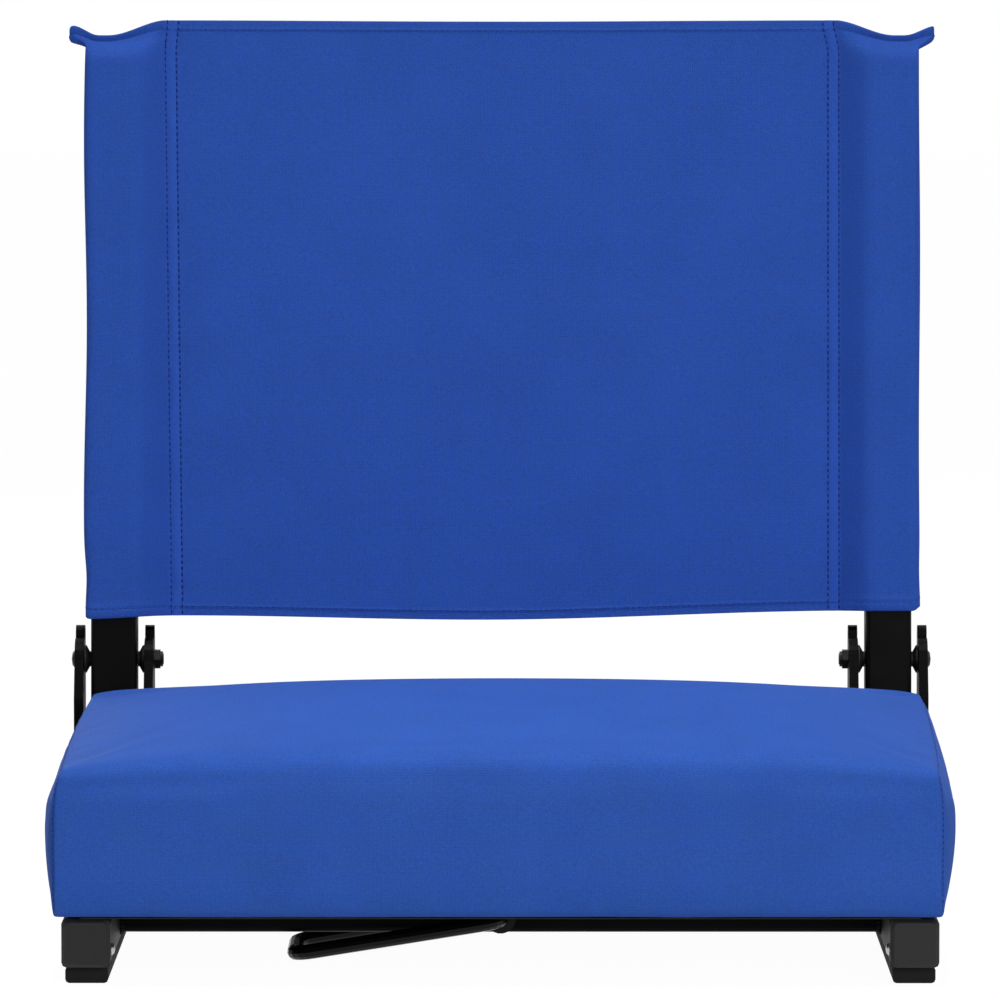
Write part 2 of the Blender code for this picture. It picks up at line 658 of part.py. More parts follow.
def cushion_cage(name, inset, bottom, open_below):
    """Coarse cage of the seat: crowned top, swelling sides, drawn in at the top edge."""
    half_x = SEAT_WIDTH / 2 - inset
    half_y = SEAT_DEPTH / 2 - inset
    top = SEAT_TOP - inset
    height = top - bottom
    bm = bmesh.new()
    bmesh.ops.create_cube(bm, size=1)
    bmesh.ops.scale(bm, vec=(2 * half_x, 2 * half_y, height), verts=bm.verts)
    bmesh.ops.translate(bm, vec=(0, SEAT_MIDDLE, bottom + height / 2), verts=bm.verts)
    cuts = []
    for x in (half_x - EDGE_ROLL, half_x * CAGE_ACROSS):
        cuts += [(Vector((x, 0, 0)), Vector((1, 0, 0))), (Vector((-x, 0, 0)), Vector((1, 0, 0)))]
    inner_cuts = [half_y * share for share in CAGE_ALONG]
    for y in (FRONT_ROLL - half_y, *inner_cuts, half_y - EDGE_ROLL):
        cuts.append((Vector((0, SEAT_MIDDLE + y, 0)), Vector((0, 1, 0))))
    for z in (bottom + BOTTOM_ROLL, bottom + height * CAGE_UP, top - EDGE_ROLL):
        cuts.append((Vector((0, 0, z)), Vector((0, 0, 1))))
    for place_of_cut, normal in cuts:
        everything = bm.verts[:] + bm.edges[:] + bm.faces[:]
        bmesh.ops.bisect_plane(bm, geom=everything, plane_co=place_of_cut, plane_no=normal)
    if open_below:
        under = []
        for face in bm.faces:
            middle = face.calc_center_median()
            within = abs(middle.x) < half_x - EDGE_ROLL
            behind_roll = SEAT_FRONT + inset + FRONT_ROLL < middle.y
            before_edge = middle.y < SEAT_REAR - inset - EDGE_ROLL
            if middle.z < bottom + CLEAR and within and behind_roll and before_edge:
                under.append(face)
        bmesh.ops.delete(bm, geom=under, context="FACES")
    for vert in bm.verts:
        across = vert.co.x / half_x
        along = (vert.co.y - SEAT_MIDDLE) / half_y
        up = (vert.co.z - bottom) / height
        swell = math.sin(math.pi * up)
        vert.co.x += across**3 * (SIDE_BULGE * swell) - across * TOP_DRAW * up**2
        vert.co.y += along**3 * END_BULGE * swell
        vert.co.z += up**4 * CROWN * (1 - abs(across) ** 2.5) * (1 - along**4)
    return mesh_from(bm, name)


def soften(piece):
    modifier = piece.modifiers.new("soften", "SUBSURF")
    modifier.levels = 1
    modifier.render_levels = 1


def seat_sheet(name, inset, thickness):
    """Flat sheet of the seat's outline, inset from its edge, with round corners."""
    outline = rounded_box_outline(SEAT_WIDTH - 2 * inset, SEAT_DEPTH - 2 * inset, BOARD_CORNER, 4)
    return extruded(name, [outline], thickness)


def make_seat():
    """Upholstered seat: cover drawn round the foam and under the board, dust cloth below."""
    cover = place("seat_cover", cushion_cage("seat_cover", 0, SEAT_BOTTOM, True), BLUE_CLOTH)
    soften(cover)
    skin = cover.modifiers.new("skin", "SOLIDIFY")
    skin.thickness = COVER
    skin.offset = -1
    foam = place("seat_foam", cushion_cage("seat_foam", COVER + FOAM_EASE, FOAM_BOTTOM, False), FOAM)
    soften(foam)

    board_middle = (0, SEAT_MIDDLE, BOARD_BOTTOM + BOARD_THICKNESS / 2)
    board_mesh = seat_sheet("seat_board", BOARD_INSET, BOARD_THICKNESS)
    board = place("seat_board", board_mesh, PLYWOOD, board_middle)
    dust_middle = (0, SEAT_MIDDLE, DUST_BOTTOM + DUST_CLOTH / 2)
    dust_mesh = seat_sheet("dust_cloth", DUST_CLOTH_INSET, DUST_CLOTH)
    dust_cloth = place("dust_cloth", dust_mesh, BLACK_CLOTH, dust_middle)
    return board, dust_cloth


def hook_path():
    """Middle line of the hook about its pivot: pin, stem to the left, return and lip."""
    stack = BAR_SIZE / 2 + 2 * CLEAR + WASHER_THICKNESS + PUSH_NUT_HEIGHT + PIN_END
    far = HOOK_RETURN - HOOK_REACH
    bend = ROD_BEND
    path = [(0, stack), (0, 0)]
    path += arc((-bend, bend - HOOK_REACH), bend, 0, -QUARTER, 5)
    path += arc((bend - HOOK_STEM, bend - HOOK_REACH), bend, -QUARTER, -2 * QUARTER, 5)
    path += arc((bend - HOOK_STEM, far - bend), bend, 2 * QUARTER, QUARTER, 5)
    path.append((HOOK_LIP - HOOK_STEM, far))
    return path


def make_hook(pivot):
    """Bench hook of round rod, with its washers and push-on nut, in the frame of its pivot."""
    rod = bpy.data.curves.new("bench_hook", "CURVE")
    rod.dimensions = "3D"
    rod.bevel_depth = ROD_RADIUS
    rod.bevel_resolution = 4
    rod.use_fill_caps = True
    path = hook_path()
    spline = rod.splines.new("POLY")
    spline.points.add(len(path) - 1)
    for point, (x, y) in zip(spline.points, path):
        point.co = (x, y, 0, 1)
    place("bench_hook", rod, BLACK_PAINT, parent=pivot)

    bore = hole_radius(ROD_RADIUS, ROD_FIT)
    face = BAR_SIZE / 2 + CLEAR
    backwards = (-QUARTER, 0, 0)
    forwards = (QUARTER, 0, 0)

    def ring(radius, height):
        return [(bore, height), (radius, height), (radius, 0), (bore, 0)]

    washer = ring(ROD_RADIUS + WASHER_RIM, WASHER_THICKNESS)
    turned("hook_front_washer", washer, BLACK_STEEL, (0, -face, 0), forwards, pivot, True)
    turned("hook_rear_washer", washer, BLACK_STEEL, (0, face, 0), backwards, pivot, True)
    nut = ring(ROD_RADIUS + PUSH_NUT_RIM, PUSH_NUT_HEIGHT)
    nut_seat = (0, face + WASHER_THICKNESS + CLEAR, 0)
    turned("hook_push_nut", nut, BRIGHT_STEEL, nut_seat, backwards, pivot, True)


def main():
    make_rails()
    bars = make_bars()
    board, dust_cloth = make_seat()
    make_seat_screws(bars, board, dust_cloth)
    make_brackets()
    make_hinge_fasteners()
    back_pivot = place_pivot("back_pivot", PIVOT, (-RECLINE, 0, 0))
    make_posts(back_pivot)
    make_cloth_back(back_pivot)
    hook_pivot = place_pivot("hook_pivot", HOOK_PIVOT, (0, -HOOK_DROP, 0))
    make_hook(hook_pivot)


main()
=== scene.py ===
"""Looks of a folding bleacher seat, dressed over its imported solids.

Canvas back with sewn sleeves, padded seat, dust cloth with staples, weld beads and the finish of
every piece of metal, plastic and rubber. Metres, +Z up, the front of the seat towards -Y.
"""

import json
import math

import bmesh
import bpy
from bpy.props import FloatProperty, FloatVectorProperty, PointerProperty
from mathutils import Matrix, Vector, noise


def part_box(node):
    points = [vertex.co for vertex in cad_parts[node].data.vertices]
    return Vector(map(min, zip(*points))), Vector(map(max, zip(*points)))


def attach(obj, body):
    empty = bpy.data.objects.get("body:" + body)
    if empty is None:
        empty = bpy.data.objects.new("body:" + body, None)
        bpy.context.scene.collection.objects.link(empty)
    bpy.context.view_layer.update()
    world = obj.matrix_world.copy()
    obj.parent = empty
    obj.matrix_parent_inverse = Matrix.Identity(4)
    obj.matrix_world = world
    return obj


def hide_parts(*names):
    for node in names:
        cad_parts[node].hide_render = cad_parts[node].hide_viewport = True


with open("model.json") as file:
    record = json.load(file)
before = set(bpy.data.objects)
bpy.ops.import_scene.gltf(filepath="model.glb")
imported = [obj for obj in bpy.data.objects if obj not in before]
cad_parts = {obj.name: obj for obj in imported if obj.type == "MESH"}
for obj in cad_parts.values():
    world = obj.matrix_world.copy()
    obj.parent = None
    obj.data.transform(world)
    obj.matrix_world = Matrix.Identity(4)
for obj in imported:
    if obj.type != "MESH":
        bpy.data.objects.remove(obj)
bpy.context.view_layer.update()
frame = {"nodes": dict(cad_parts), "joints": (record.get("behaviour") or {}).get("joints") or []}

bl_info = {
    "name": "Folding bleacher seat",
    "version": (1, 0, 0),
    "blender": (4, 5, 0),
    "location": "3D View > Sidebar > Seat",
    "description": "Dresses the solids of a folding bleacher seat in canvas, paint and plated steel",
    "category": "Object",
}

SIDES = {"left": -1, "right": 1}
ENDS = ("front", "rear")

# Places taken from the solids
PIVOT = Vector(next(joint["pos_m"] for joint in frame["joints"] if joint["name"] == "back_fold"))
RECLINE = math.radians(4)
BACK = Matrix.Translation(PIVOT) @ Matrix.Rotation(-RECLINE, 4, "X")
POST_LOW, POST_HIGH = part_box("right_post")
POST_SIZE = POST_HIGH.x - POST_LOW.x
POST_X = (POST_HIGH.x + POST_LOW.x) / 2
COVER_LOW, COVER_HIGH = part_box("seat_cover")
DUST_LOW, DUST_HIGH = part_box("dust_cloth")
RAIL_LOW, RAIL_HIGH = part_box("right_rail")


def linear(code):
    """Linear colour of an sRGB hex code."""
    channels = [int(code[place:place + 2], 16) / 255 for place in (1, 3, 5)]
    return tuple(c / 12.92 if c <= 0.04045 else ((c + 0.055) / 1.055) ** 2.4 for c in channels)


def plain_value(name, description, default, **kind):
    """A value of some kind that a user may change."""
    return FloatProperty(name=name, description=description, default=default, min=0, **kind)


def length(name, description, default):
    """A size in metres that a user may change."""
    return FloatProperty(name=name, description=description, default=default, unit="LENGTH", precision=5)


def angle(name, description, degrees):
    """An angle that a user may change."""
    return FloatProperty(name=name, description=description, default=math.radians(degrees), subtype="ANGLE")


def colour(name, description, code):
    """A colour that a user may change."""
    return FloatVectorProperty(
        name=name, description=description, default=linear(code), subtype="COLOR", size=3, min=0, max=1
    )


class CanvasBackSettings(bpy.types.PropertyGroup):
    """Sizes and colours of the canvas back."""

    canvas: colour("Canvas", "Dyed colour of the canvas", "#284c9f")
    # Painted shade: one thread with the hem thread, set darker for the shade of the seam grooves
    thread: colour("Seam thread", "Colour of the thread of the sleeve seams", "#172c74")
    hem_thread: colour("Hem thread", "Colour of the thread of the hems", "#203f8a")
    top: length("Top edge", "Height of the top edge along the posts, above the pivot", 0.3497)
    cloth: length("Cloth", "Thickness of the canvas", 0.0009)
    hem: length("Hem", "Depth of the turned hems", 0.0095)
    hem_stitch: length("Hem stitch", "Hem stitches from the edge", 0.005)
    seam_gap: length("Seam gap", "Between the two rows of stitches of a sleeve seam", 0.006)
    stitch: length("Stitch", "Pitch of the stitches", 0.0034)
    seam_yarn: length("Seam yarn", "Thickness of the thread of the sleeve seams", 0.0010)
    hem_yarn: length("Hem yarn", "Thickness of the thread of the hems", 0.0006)
    weave: length("Thread spacing", "Pitch of the woven threads as drawn", 0.0010)


class SeatCushionSettings(bpy.types.PropertyGroup):
    """Sizes and colours of the padded seat."""

    canvas: colour("Canvas", "Dyed colour of the cover", "#2a50a1")
    thread: colour("Thread", "Colour of the sewing thread", "#1c3280")
    crown: length("Crown", "Rise of the middle of the top", 0.0177)
    lift: length("Front lift", "Rise of the middle of the front edge", 0.0056)
    end_bulge: length("End bulge", "Swelling of the front and the rear", 0.0015)
    side_bulge: length("Side bulge", "Swelling of the side panels", 0.0064)
    edge: length("Edge radius", "Round edge on which the side seams lie", 0.003)
    swell: length("Swell", "Most that the filling may push the cover out", 0.0018)
    pressure: plain_value("Pressure", "Push of the filling on the cover", 4.0)
    stitch: length("Stitch", "Pitch of the stitches", 0.0030)
    yarn: length("Yarn", "Thickness of the sewing thread", 0.0005)
    weave: length("Thread spacing", "Pitch of the woven threads as drawn", 0.0010)


class UndersideSettings(bpy.types.PropertyGroup):
    """Sizes and colours of the dust cloth."""

    cloth: colour("Dust cloth", "Colour of the non-woven cloth", "#1a1a1c")
    staple: colour("Staple", "Colour of the staples", "#0d0d0d")
    sag: length("Sag", "Sag of the cloth between the bars", 0.0018)
    staple_gap: length("Staple gap", "Distance between staples", 0.048)


class FrameSettings(bpy.types.PropertyGroup):
    """Colours of the frame, and its welds."""

    paint: colour("Powder coat", "Colour of tubes and brackets", "#050505")
    hook: colour("Hook paint", "Colour of the bench hook", "#070707")
    weld: length("Weld", "Radius of a weld bead", 0.0024)
    ripple: length("Ripple", "Pitch of the ripples of a weld bead", 0.0022)


class HardwareSettings(bpy.types.PropertyGroup):
    """Colours of fasteners, caps and skids."""

    black: colour("Black oxide", "Colour of bolts, nuts and washers", "#161617")
    zinc: colour("Zinc plating", "Colour of rivets and screws", "#b4b7ba")
    plastic: colour("Cap plastic", "Colour of end caps, plugs and spacers", "#252525")
    rubber: colour("Rubber", "Colour of the skids", "#1c1c1c")
    veneer: colour("Plywood", "Colour of the seat board", "#b98f5c")


class StageSettings(bpy.types.PropertyGroup):
    """Floor, light and camera."""

    floor: colour("Floor", "Colour of the floor", "#d8d8d8")
    sky: plain_value("Sky", "Strength of the light from all round", 0.3)
    overhead: plain_value("Overhead light", "Softbox above", 2.9, unit="POWER")
    key: plain_value("Front light", "Softbox before the seat", 50, unit="POWER")
    rim: plain_value("Side light", "Strip to the right", 3, unit="POWER")
    fill: plain_value("Rear light", "Softbox behind the seat", 30, unit="POWER")
    distance: length("Camera distance", "From the front of the seat rails to the camera", 4.147)
    height: length("Camera height", "Of the camera above the floor", 0.541)
    aside: length("Camera aside", "Camera to the right of the middle", 0.0064)
    pitch: angle("Pitch", "Camera below the level", 4.035)
    yaw: angle("Yaw", "Camera turned to the left", 0.0906)
    lens: plain_value("Lens", "Focal length", 294.5, unit="CAMERA")


# Materials

BANDS = math.tau / 20  # scale of a wave texture with bands 1 m apart
SEAM_HIGHLIGHT_ATTRIBUTE = "rubbed"  # attribute of the canvas meshes: painted highlight on the raised seam strips, full at 1
SEAM_HIGHLIGHT_SHADE = 1.6
SLUB = 0.0111  # uneven stretches of the canvas threads, and how far the threads wander there
SLUB_DRIFT = (0.0012, 0.0012, 0)
FUZZ = 0.00111  # tufts of loose fibre on the canvas, and their share of its relief
FUZZ_SHARE = 0.65
MOTTLE = 0.0385  # clouds of the dye, and their share of its colour
MOTTLE_SHARE = 0.18
PLY = 0.0007  # ridges of twisted thread, drawn about twice as wide as they are so that they show
RING = 0.0058  # growth rings on the face of the board, drawn out along it
RING_STRETCH = (4, 34, 34)
PATCH = 0.0222  # patches of a finish in which its colour and roughness wander
GRAIN_SHARE = 0.25  # of the fine grain in that colour
MIDDLING = (0.3, 0.7)  # between which most values of a noise lie


def wire(tree, node, links):
    """Links outputs of other nodes into the sockets of one."""
    for socket, source in dict(links).items():
        tree.links.new(source, node.inputs[socket])


def add(tree, kind, sockets=(), links=(), stops=(), **settings):
    """Adds a node with its settings, the values of its sockets, the links into it and a ramp's stops."""
    node = tree.nodes.new(kind)
    for name, value in settings.items():
        setattr(node, name, value)
    for socket, value in dict(sockets).items():
        node.inputs[socket].default_value = value
    for index, (place, tint) in enumerate(stops):
        node.color_ramp.elements[index].position = place
        node.color_ramp.elements[index].color = tint
    wire(tree, node, links)
    return node


def new_material(name, **sockets):
    """A material with one Principled shader; sockets are its values by name, with _ for a space."""
    material = bpy.data.materials.new(name)
    material.use_nodes = True
    shader = material.node_tree.nodes["Principled BSDF"]
    for socket, value in sockets.items():
        shader.inputs[socket.replace("_", " ")].default_value = value
    return material, material.node_tree, shader


def shade(base, factor=1):
    """A colour made lighter or darker, with its alpha."""
    return (*(min(channel * factor, 1) for channel in base), 1)


def canvas_weave(name, base, pitch):
    """Plain-weave polyester canvas, piece dyed: dull threads over and under each other, painted darker in
    the hollows between them and lighter on their crowns as painted shade and highlight, a faint mottle
    from the dyeing, pale fuzz at a slant and a painted highlight on the raised seam strips. The real
    threads lie 0.5 mm apart, too fine to show, so they are drawn at the pitch given."""
    material, tree, shader = new_material(
        name, Roughness=0.85, Specular_IOR_Level=0.1,
        Sheen_Weight=0.08, Sheen_Roughness=0.4, Sheen_Tint=shade(linear("#5f86d6")),
    )
    place = add(tree, "ShaderNodeTexCoord").outputs
    on_cloth = {"Vector": place["Object"]}
    slub = add(tree, "ShaderNodeTexNoise", {"Scale": 1 / SLUB, "Detail": 2}, on_cloth).outputs["Color"]
    drift = add(tree, "ShaderNodeVectorMath", {1: SLUB_DRIFT}, {0: slub}, operation="MULTIPLY")
    flat = add(tree, "ShaderNodeVectorMath", (), {0: place["UV"], 1: drift.outputs[0]}, operation="ADD")
    on_weave = {"Vector": flat.outputs[0]}
    threads = {"Scale": BANDS / pitch}
    warp = add(tree, "ShaderNodeTexWave", threads, on_weave, bands_direction="X")
    weft = add(tree, "ShaderNodeTexWave", threads, on_weave, bands_direction="Y")
    over = add(tree, "ShaderNodeTexChecker", {"Scale": 1 / pitch}, on_weave)
    crossing = {"Factor": over.outputs["Fac"], "A": warp.outputs["Fac"], "B": weft.outputs["Fac"]}
    thread = add(tree, "ShaderNodeMix", (), crossing).outputs["Result"]
    fuzz = add(tree, "ShaderNodeTexNoise", {"Scale": 1 / FUZZ, "Detail": 3}, on_cloth).outputs["Fac"]
    relief = add(tree, "ShaderNodeMix", {"Factor": FUZZ_SHARE}, {"A": thread, "B": fuzz}).outputs["Result"]
    bump = add(tree, "ShaderNodeBump", {"Strength": 0.5, "Distance": 0.0003}, {"Height": relief})
    mottle = add(tree, "ShaderNodeTexNoise", {"Scale": 1 / MOTTLE, "Detail": 5}, on_cloth).outputs["Fac"]
    tone = add(tree, "ShaderNodeMix", {"Factor": MOTTLE_SHARE}, {"A": relief, "B": mottle})
    # Painted shade and highlight: colour follows the relief, darker between threads, lighter on crowns
    stops = ((0.25, shade(base, 0.7)), (0.75, shade(base, 1.3)))
    dye = add(tree, "ShaderNodeValToRGB", (), {"Fac": tone.outputs["Result"]}, stops).outputs["Color"]
    # Painted highlight: the attribute paints the raised seam strips paler
    rubbed = add(tree, "ShaderNodeAttribute", attribute_name=SEAM_HIGHLIGHT_ATTRIBUTE).outputs["Fac"]
    pale = {"B": shade(base, SEAM_HIGHLIGHT_SHADE)}
    highlighted = add(tree, "ShaderNodeMix", pale, {"Factor": rubbed, "A": dye}, data_type="RGBA")
    wire(tree, shader, {"Base Color": highlighted.outputs["Result"], "Normal": bump.outputs["Normal"]})
    return material


def grained(name, base, grain, depth, spread, roughness, **sockets):
    """A surface with an even grain: grain and depth in metres, spread for the change of its colour, and
    roughness that wanders between two values."""
    material, tree, shader = new_material(name, **sockets)
    on_piece = {"Vector": add(tree, "ShaderNodeTexCoord").outputs["Object"]}
    fine = add(tree, "ShaderNodeTexNoise", {"Scale": 1 / grain, "Detail": 3}, on_piece).outputs["Fac"]
    broad = add(tree, "ShaderNodeTexNoise", {"Scale": 1 / PATCH, "Detail": 6}, on_piece).outputs["Fac"]
    bump = add(tree, "ShaderNodeBump", {"Strength": 1, "Distance": depth}, {"Height": fine})
    tone = add(tree, "ShaderNodeMix", {"Factor": GRAIN_SHARE}, {"A": broad, "B": fine})
    stops = zip(MIDDLING, (shade(base, 1 - spread), shade(base, 1 + spread)))
    dye = add(tree, "ShaderNodeValToRGB", (), {"Fac": tone.outputs["Result"]}, stops)
    limits = zip(("From Min", "From Max", "To Min", "To Max"), (*MIDDLING, *roughness))
    gloss = add(tree, "ShaderNodeMapRange", limits, {"Value": broad}).outputs["Result"]
    looks = {"Base Color": dye.outputs["Color"], "Roughness": gloss, "Normal": bump.outputs["Normal"]}
    wire(tree, shader, looks)
    return material


def twisted_thread(name, base):
    """Twisted polyester sewing thread: dull, with its plies as fine slanting ridges, painted darker
    between them and lighter on them as painted shade and highlight.
    """
    material, tree, shader = new_material(name, Roughness=0.75, Specular_IOR_Level=0.1)
    on_thread = {"Vector": add(tree, "ShaderNodeTexCoord").outputs["Object"]}
    plies = add(tree, "ShaderNodeTexWave", {"Scale": BANDS / PLY}, on_thread, bands_direction="DIAGONAL")
    ridge = plies.outputs["Fac"]
    bump = add(tree, "ShaderNodeBump", {"Strength": 0.6, "Distance": 0.0001}, {"Height": ridge})
    stops = ((0, shade(base, 0.7)), (1, shade(base, 1.25)))
    dye = add(tree, "ShaderNodeValToRGB", (), {"Fac": ridge}, stops)
    wire(tree, shader, {"Base Color": dye.outputs["Color"], "Normal": bump.outputs["Normal"]})
    return material


def rotary_veneer(base):
    """Plain plywood: rotary-cut face veneer with long cathedral grain along the board."""
    material, tree, shader = new_material("birch_plywood", Roughness=0.7)
    on_board = {"Vector": add(tree, "ShaderNodeTexCoord").outputs["Object"]}
    drawn = add(tree, "ShaderNodeMapping", {"Scale": RING_STRETCH}, on_board).outputs["Vector"]
    rings = {"Scale": BANDS / RING / RING_STRETCH[1], "Distortion": 7, "Detail": 4}
    grain = add(tree, "ShaderNodeTexWave", rings, {"Vector": drawn}, bands_direction="Y").outputs["Fac"]
    stops = ((0, shade(base, 0.72)), (1, shade(base, 1.12)))
    dye = add(tree, "ShaderNodeValToRGB", (), {"Fac": grain}, stops)
    bump = add(tree, "ShaderNodeBump", {"Strength": 0.4, "Distance": 0.0002}, {"Height": grain})
    wire(tree, shader, {"Base Color": dye.outputs["Color"], "Normal": bump.outputs["Normal"]})
    return material


# Meshes

def clamp(value):
    """Keeps a share between 0 and 1."""
    return min(max(value, 0), 1)


def ease(value):
    """Smooth step from 0 to 1."""
    value = clamp(value)
    return value * value * (3 - 2 * value)


def blend(start, end, share):
    """Value a share of the way from start to end."""
    return start + (end - start) * share


def add_grid(bm, layer, rows, flat, turned=False):
    """Faces between rows of vertices, with flat coordinates in metres as (across, along)."""
    for low in range(len(rows) - 1):
        for left in range(len(rows[low]) - 1):
            corners = [(low, left), (low, left + 1), (low + 1, left + 1), (low + 1, left)]
            if turned:
                corners.reverse()
            face = bm.faces.new([rows[row][column] for row, column in corners])
            face.smooth = True
            for loop, (row, column) in zip(face.loops, corners):
                loop[layer].uv = flat[row][column]


def object_from(bm, name, material):
    """An object from a finished mesh."""
    mesh = bpy.data.meshes.new(name)
    bm.to_mesh(mesh)
    bm.free()
    mesh.materials.append(material)
    item = bpy.data.objects.new(name, mesh)
    bpy.context.scene.collection.objects.link(item)
    return item


def piece_from(bm, name, material, body):
    """A piece of the object from a mesh in the shared frame."""
    piece = object_from(bm, name, material)
    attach(piece, body)
    return piece


def even(count):
    """Equal steps along a stretch, as shares of it."""
    return tuple(step / count for step in range(1, count + 1))


def rounded_path(corners, radii, stretches, bend=4):
    """Open path in a plane through corners, each inner one rounded by a bend of as many steps. Stretches
    hold the places of the points on each straight run, as shares of it."""
    corners = [Vector(corner) for corner in corners]
    path = [corners[0]]
    for before, corner, after, radius, shares in zip(corners, corners[1:], corners[2:], radii, stretches):
        into = (corner - before).normalized()
        out = (after - corner).normalized()
        turn = math.atan2(into.x * out.y - into.y * out.x, into.dot(out))
        reach = radius * math.tan(abs(turn) / 2)
        side = Vector((-into.y, into.x)) * math.copysign(radius, turn)
        start = corner - into * reach
        centre = start + side
        leave = path[-1]
        path += [leave.lerp(start, share) for share in shares]
        for step in range(1, bend + 1):
            path.append(centre + Matrix.Rotation(turn * step / bend, 2) @ -side)
    leave = path[-1]
    path += [leave.lerp(corners[-1], share) for share in stretches[-1]]
    return path


def run_of(path):
    """Length along a path at each of its points."""
    run = [0]
    for before, after in zip(path, path[1:]):
        run.append(run[-1] + (after - before).length)
    return run


def places_along(path, stops):
    """Finds distances along a path: the step on which each one falls, and the share of it passed there."""
    run = run_of(path)
    step = 0
    for at in stops:
        while step < len(path) - 2 and run[step + 1] < at:
            step += 1
        yield step, (at - run[step]) / (run[step + 1] - run[step])


def spread_along(path, count):
    """Points at even distances along a path."""
    total = run_of(path)[-1]
    stops = [total * step / count for step in range(count + 1)]
    return [path[step].lerp(path[step + 1], share) for step, share in places_along(path, stops)]


def sweep(bm, path, ups, radii, sides):
    """Closed rod along a path: ups point out of the surface it lies on, radii are (across, up) pairs."""
    rings = []
    for place, (centre, up, (wide, high)) in enumerate(zip(path, ups, radii)):
        along = (path[min(place + 1, len(path) - 1)] - path[max(place - 1, 0)]).normalized()
        across = along.cross(up).normalized()
        rise = across.cross(along)
        ring = []
        for step in range(sides):
            turn = math.tau * step / sides
            offset = across * (wide * math.cos(turn)) + rise * (high * math.sin(turn))
            ring.append(bm.verts.new(centre + offset))
        rings.append(ring)
    for low, high in zip(rings, rings[1:]):
        for step in range(sides):
            after = (step + 1) % sides
            bm.faces.new([low[step], high[step], high[after], low[after]]).smooth = True
    bm.faces.new(rings[0])
    bm.faces.new(rings[-1][::-1])


# Canvas back, in the frame of the back's pivot: x to the side, y to the rear, z up along the posts

SEAM_HALF = 0.183  # sleeve seams from their middle
BEND_BELOW = 0.018  # height over which the seams are drawn in at the top
PANEL_BOW = 0.002  # middle of the canvas behind the posts' middle
CLOSE_BELOW = 0.024  # from the top edge down to where the sleeves start to close
SHUT_AT = 0.79  # share of that height where the sleeves are sewn flat
SHUT_POWER = 2.6  # they lean in slowly at first
PART_AT_SEAM = 0.15  # their layers part from the seam outwards, over this share of the way
PART_OVER = 0.05
FAN = 0.0008  # sewn edge opens again above its stitches
SLEEVE_DIP = 0.0083  # sleeve top below the top edge
DIP_AT = 0.215  # where the dip is deepest, from the middle
TOP_SAG = 0.0006  # top edge between the seams
SLEEVE_EDGE = 0.2286  # outer edge of the sleeves
EDGE_WAVE = 31  # slack of that edge up the post, in radians per metre
TUCK_AT = 0.046  # height at which that edge is drawn in, and how far that reaches
TUCK_REACH = 0.012
NOSE = 0.004  # round of that edge
REAR_CREASE = 0.005  # round of the sleeve where it leaves the post, at the back
POST_GAP = 0.0002  # between cloth and post, and between two layers of cloth
LAYER_GAP = 0.00015
SEAM_LAYERS = 2.1  # flap behind the panel, in thicknesses of the cloth
WRINKLE = 0.0005
WRINKLE_WAVES = Vector((14, 60, 8))
GROOVE = 0.0006  # seams and hems drawn in by their stitches
HEM_GROOVE = 0.4  # share of the depth of the sleeve that a hem's groove takes up at most
VALLEY = 0.012  # beside a seam, over which the panel rises again
SEAM_PUCKER = 0.0007  # ripples across a seam, which die out within the valley
SEAM_PUCKER_WAVES = (9, 75)
# painted highlight on the raised strip between the two lines of each front seam
SEAM_HIGHLIGHT_AMOUNT = 0.15
# Each sleeve: places of its seam at the bottom and the top and how far that is drawn in there, its crease
# at the post, the inset, slack and tuck of its outer edge, and the sewn tip with its reach, its flare up
# the closing stretch, rise and round corner
SLEEVES = {
    "left": {
        "seam": (0.1802, 0.1842), "bend": 0.0014, "crease": (-0.001, 0.014),
        "edge": (0.0013, 0.0008, 0.0010), "tip": 0.2365, "flare": (0.47, 0.68, 1.0),
        "rise": (0.2205, 0.2345, 0.0053), "round": 0.0024,
    },
    "right": {
        "seam": (0.1851, 0.1849), "bend": 0.0030, "crease": (0.0008, 0.012),
        "edge": (0, 0.00032, 0.0004), "tip": 0.2371, "flare": (0.40, 0.73, 0.6),
        "rise": (0.2207, 0.2385, 0.0053), "round": 0.0014,
    },
}
TIP_HALF = (0.18, 0.32, 0.41, 0.455, 0.485, 0.5)  # points gather where the tip turns over
TIP_RUN = (*TIP_HALF, *(1 - share for share in TIP_HALF[-2::-1]), 1)
SLEEVE_RUNS = (even(6), even(8), TIP_RUN, even(8), even(6))
TACK_BELOW = (0.0095, 0.0150)  # stitched back at the left seam, from the top edge
TACK_ASIDE = 0.4  # how far it wanders to the next point of the cloth
BOTTOM_LEFT = 0.0237  # bottom edge along the posts at either seam, and its sag between them
BOTTOM_RIGHT = 0.0264
BOTTOM_SAG = 0.0036
LEFT_DROP = 0.0017  # left sleeve hangs lower, and the width over which it comes to that
DROP_WIDTH = 0.042
CORNER_RISE = 0.0025  # round bottom corners, from this far inside the outer edge
CORNER_INSIDE = 0.0035
CORNER_WIDTH = 0.004
HEM_EXTRA = 0.7  # cloth that a hem adds, as a share of its thickness
HEM_EDGE = 0.4  # share of that at the very edge, and from where it is full
HEM_ROUND = 0.0015
EDGE_ROWS = (0, 0.0005, 0.0014)  # rows of points up a hem: from its edge, from its stitches, from its end
STITCH_ROWS = (-0.0018, -0.0008, 0, 0.0008, 0.0018)
END_ROWS = (-0.0008, 0, 0.0008)
CLOSING_ROWS = (0, 0.08, 0.16, 0.23, 0.3, 0.36, 0.41, 0.45, 0.48, 0.51, 0.54)  # up the closing stretch
SEAM_COLUMNS = (0.15, 0.5, 0.85, 1, 1.15, 1.6, 2.6)  # points beside a seam, in gaps between its two lines
SECOND_LINE = SEAM_COLUMNS.index(1) + 1
PANEL_STEPS = 48
BODY_STEPS = 80
STITCH_HALF = 0.34  # half of a stitch in pitches, and its points from end to end
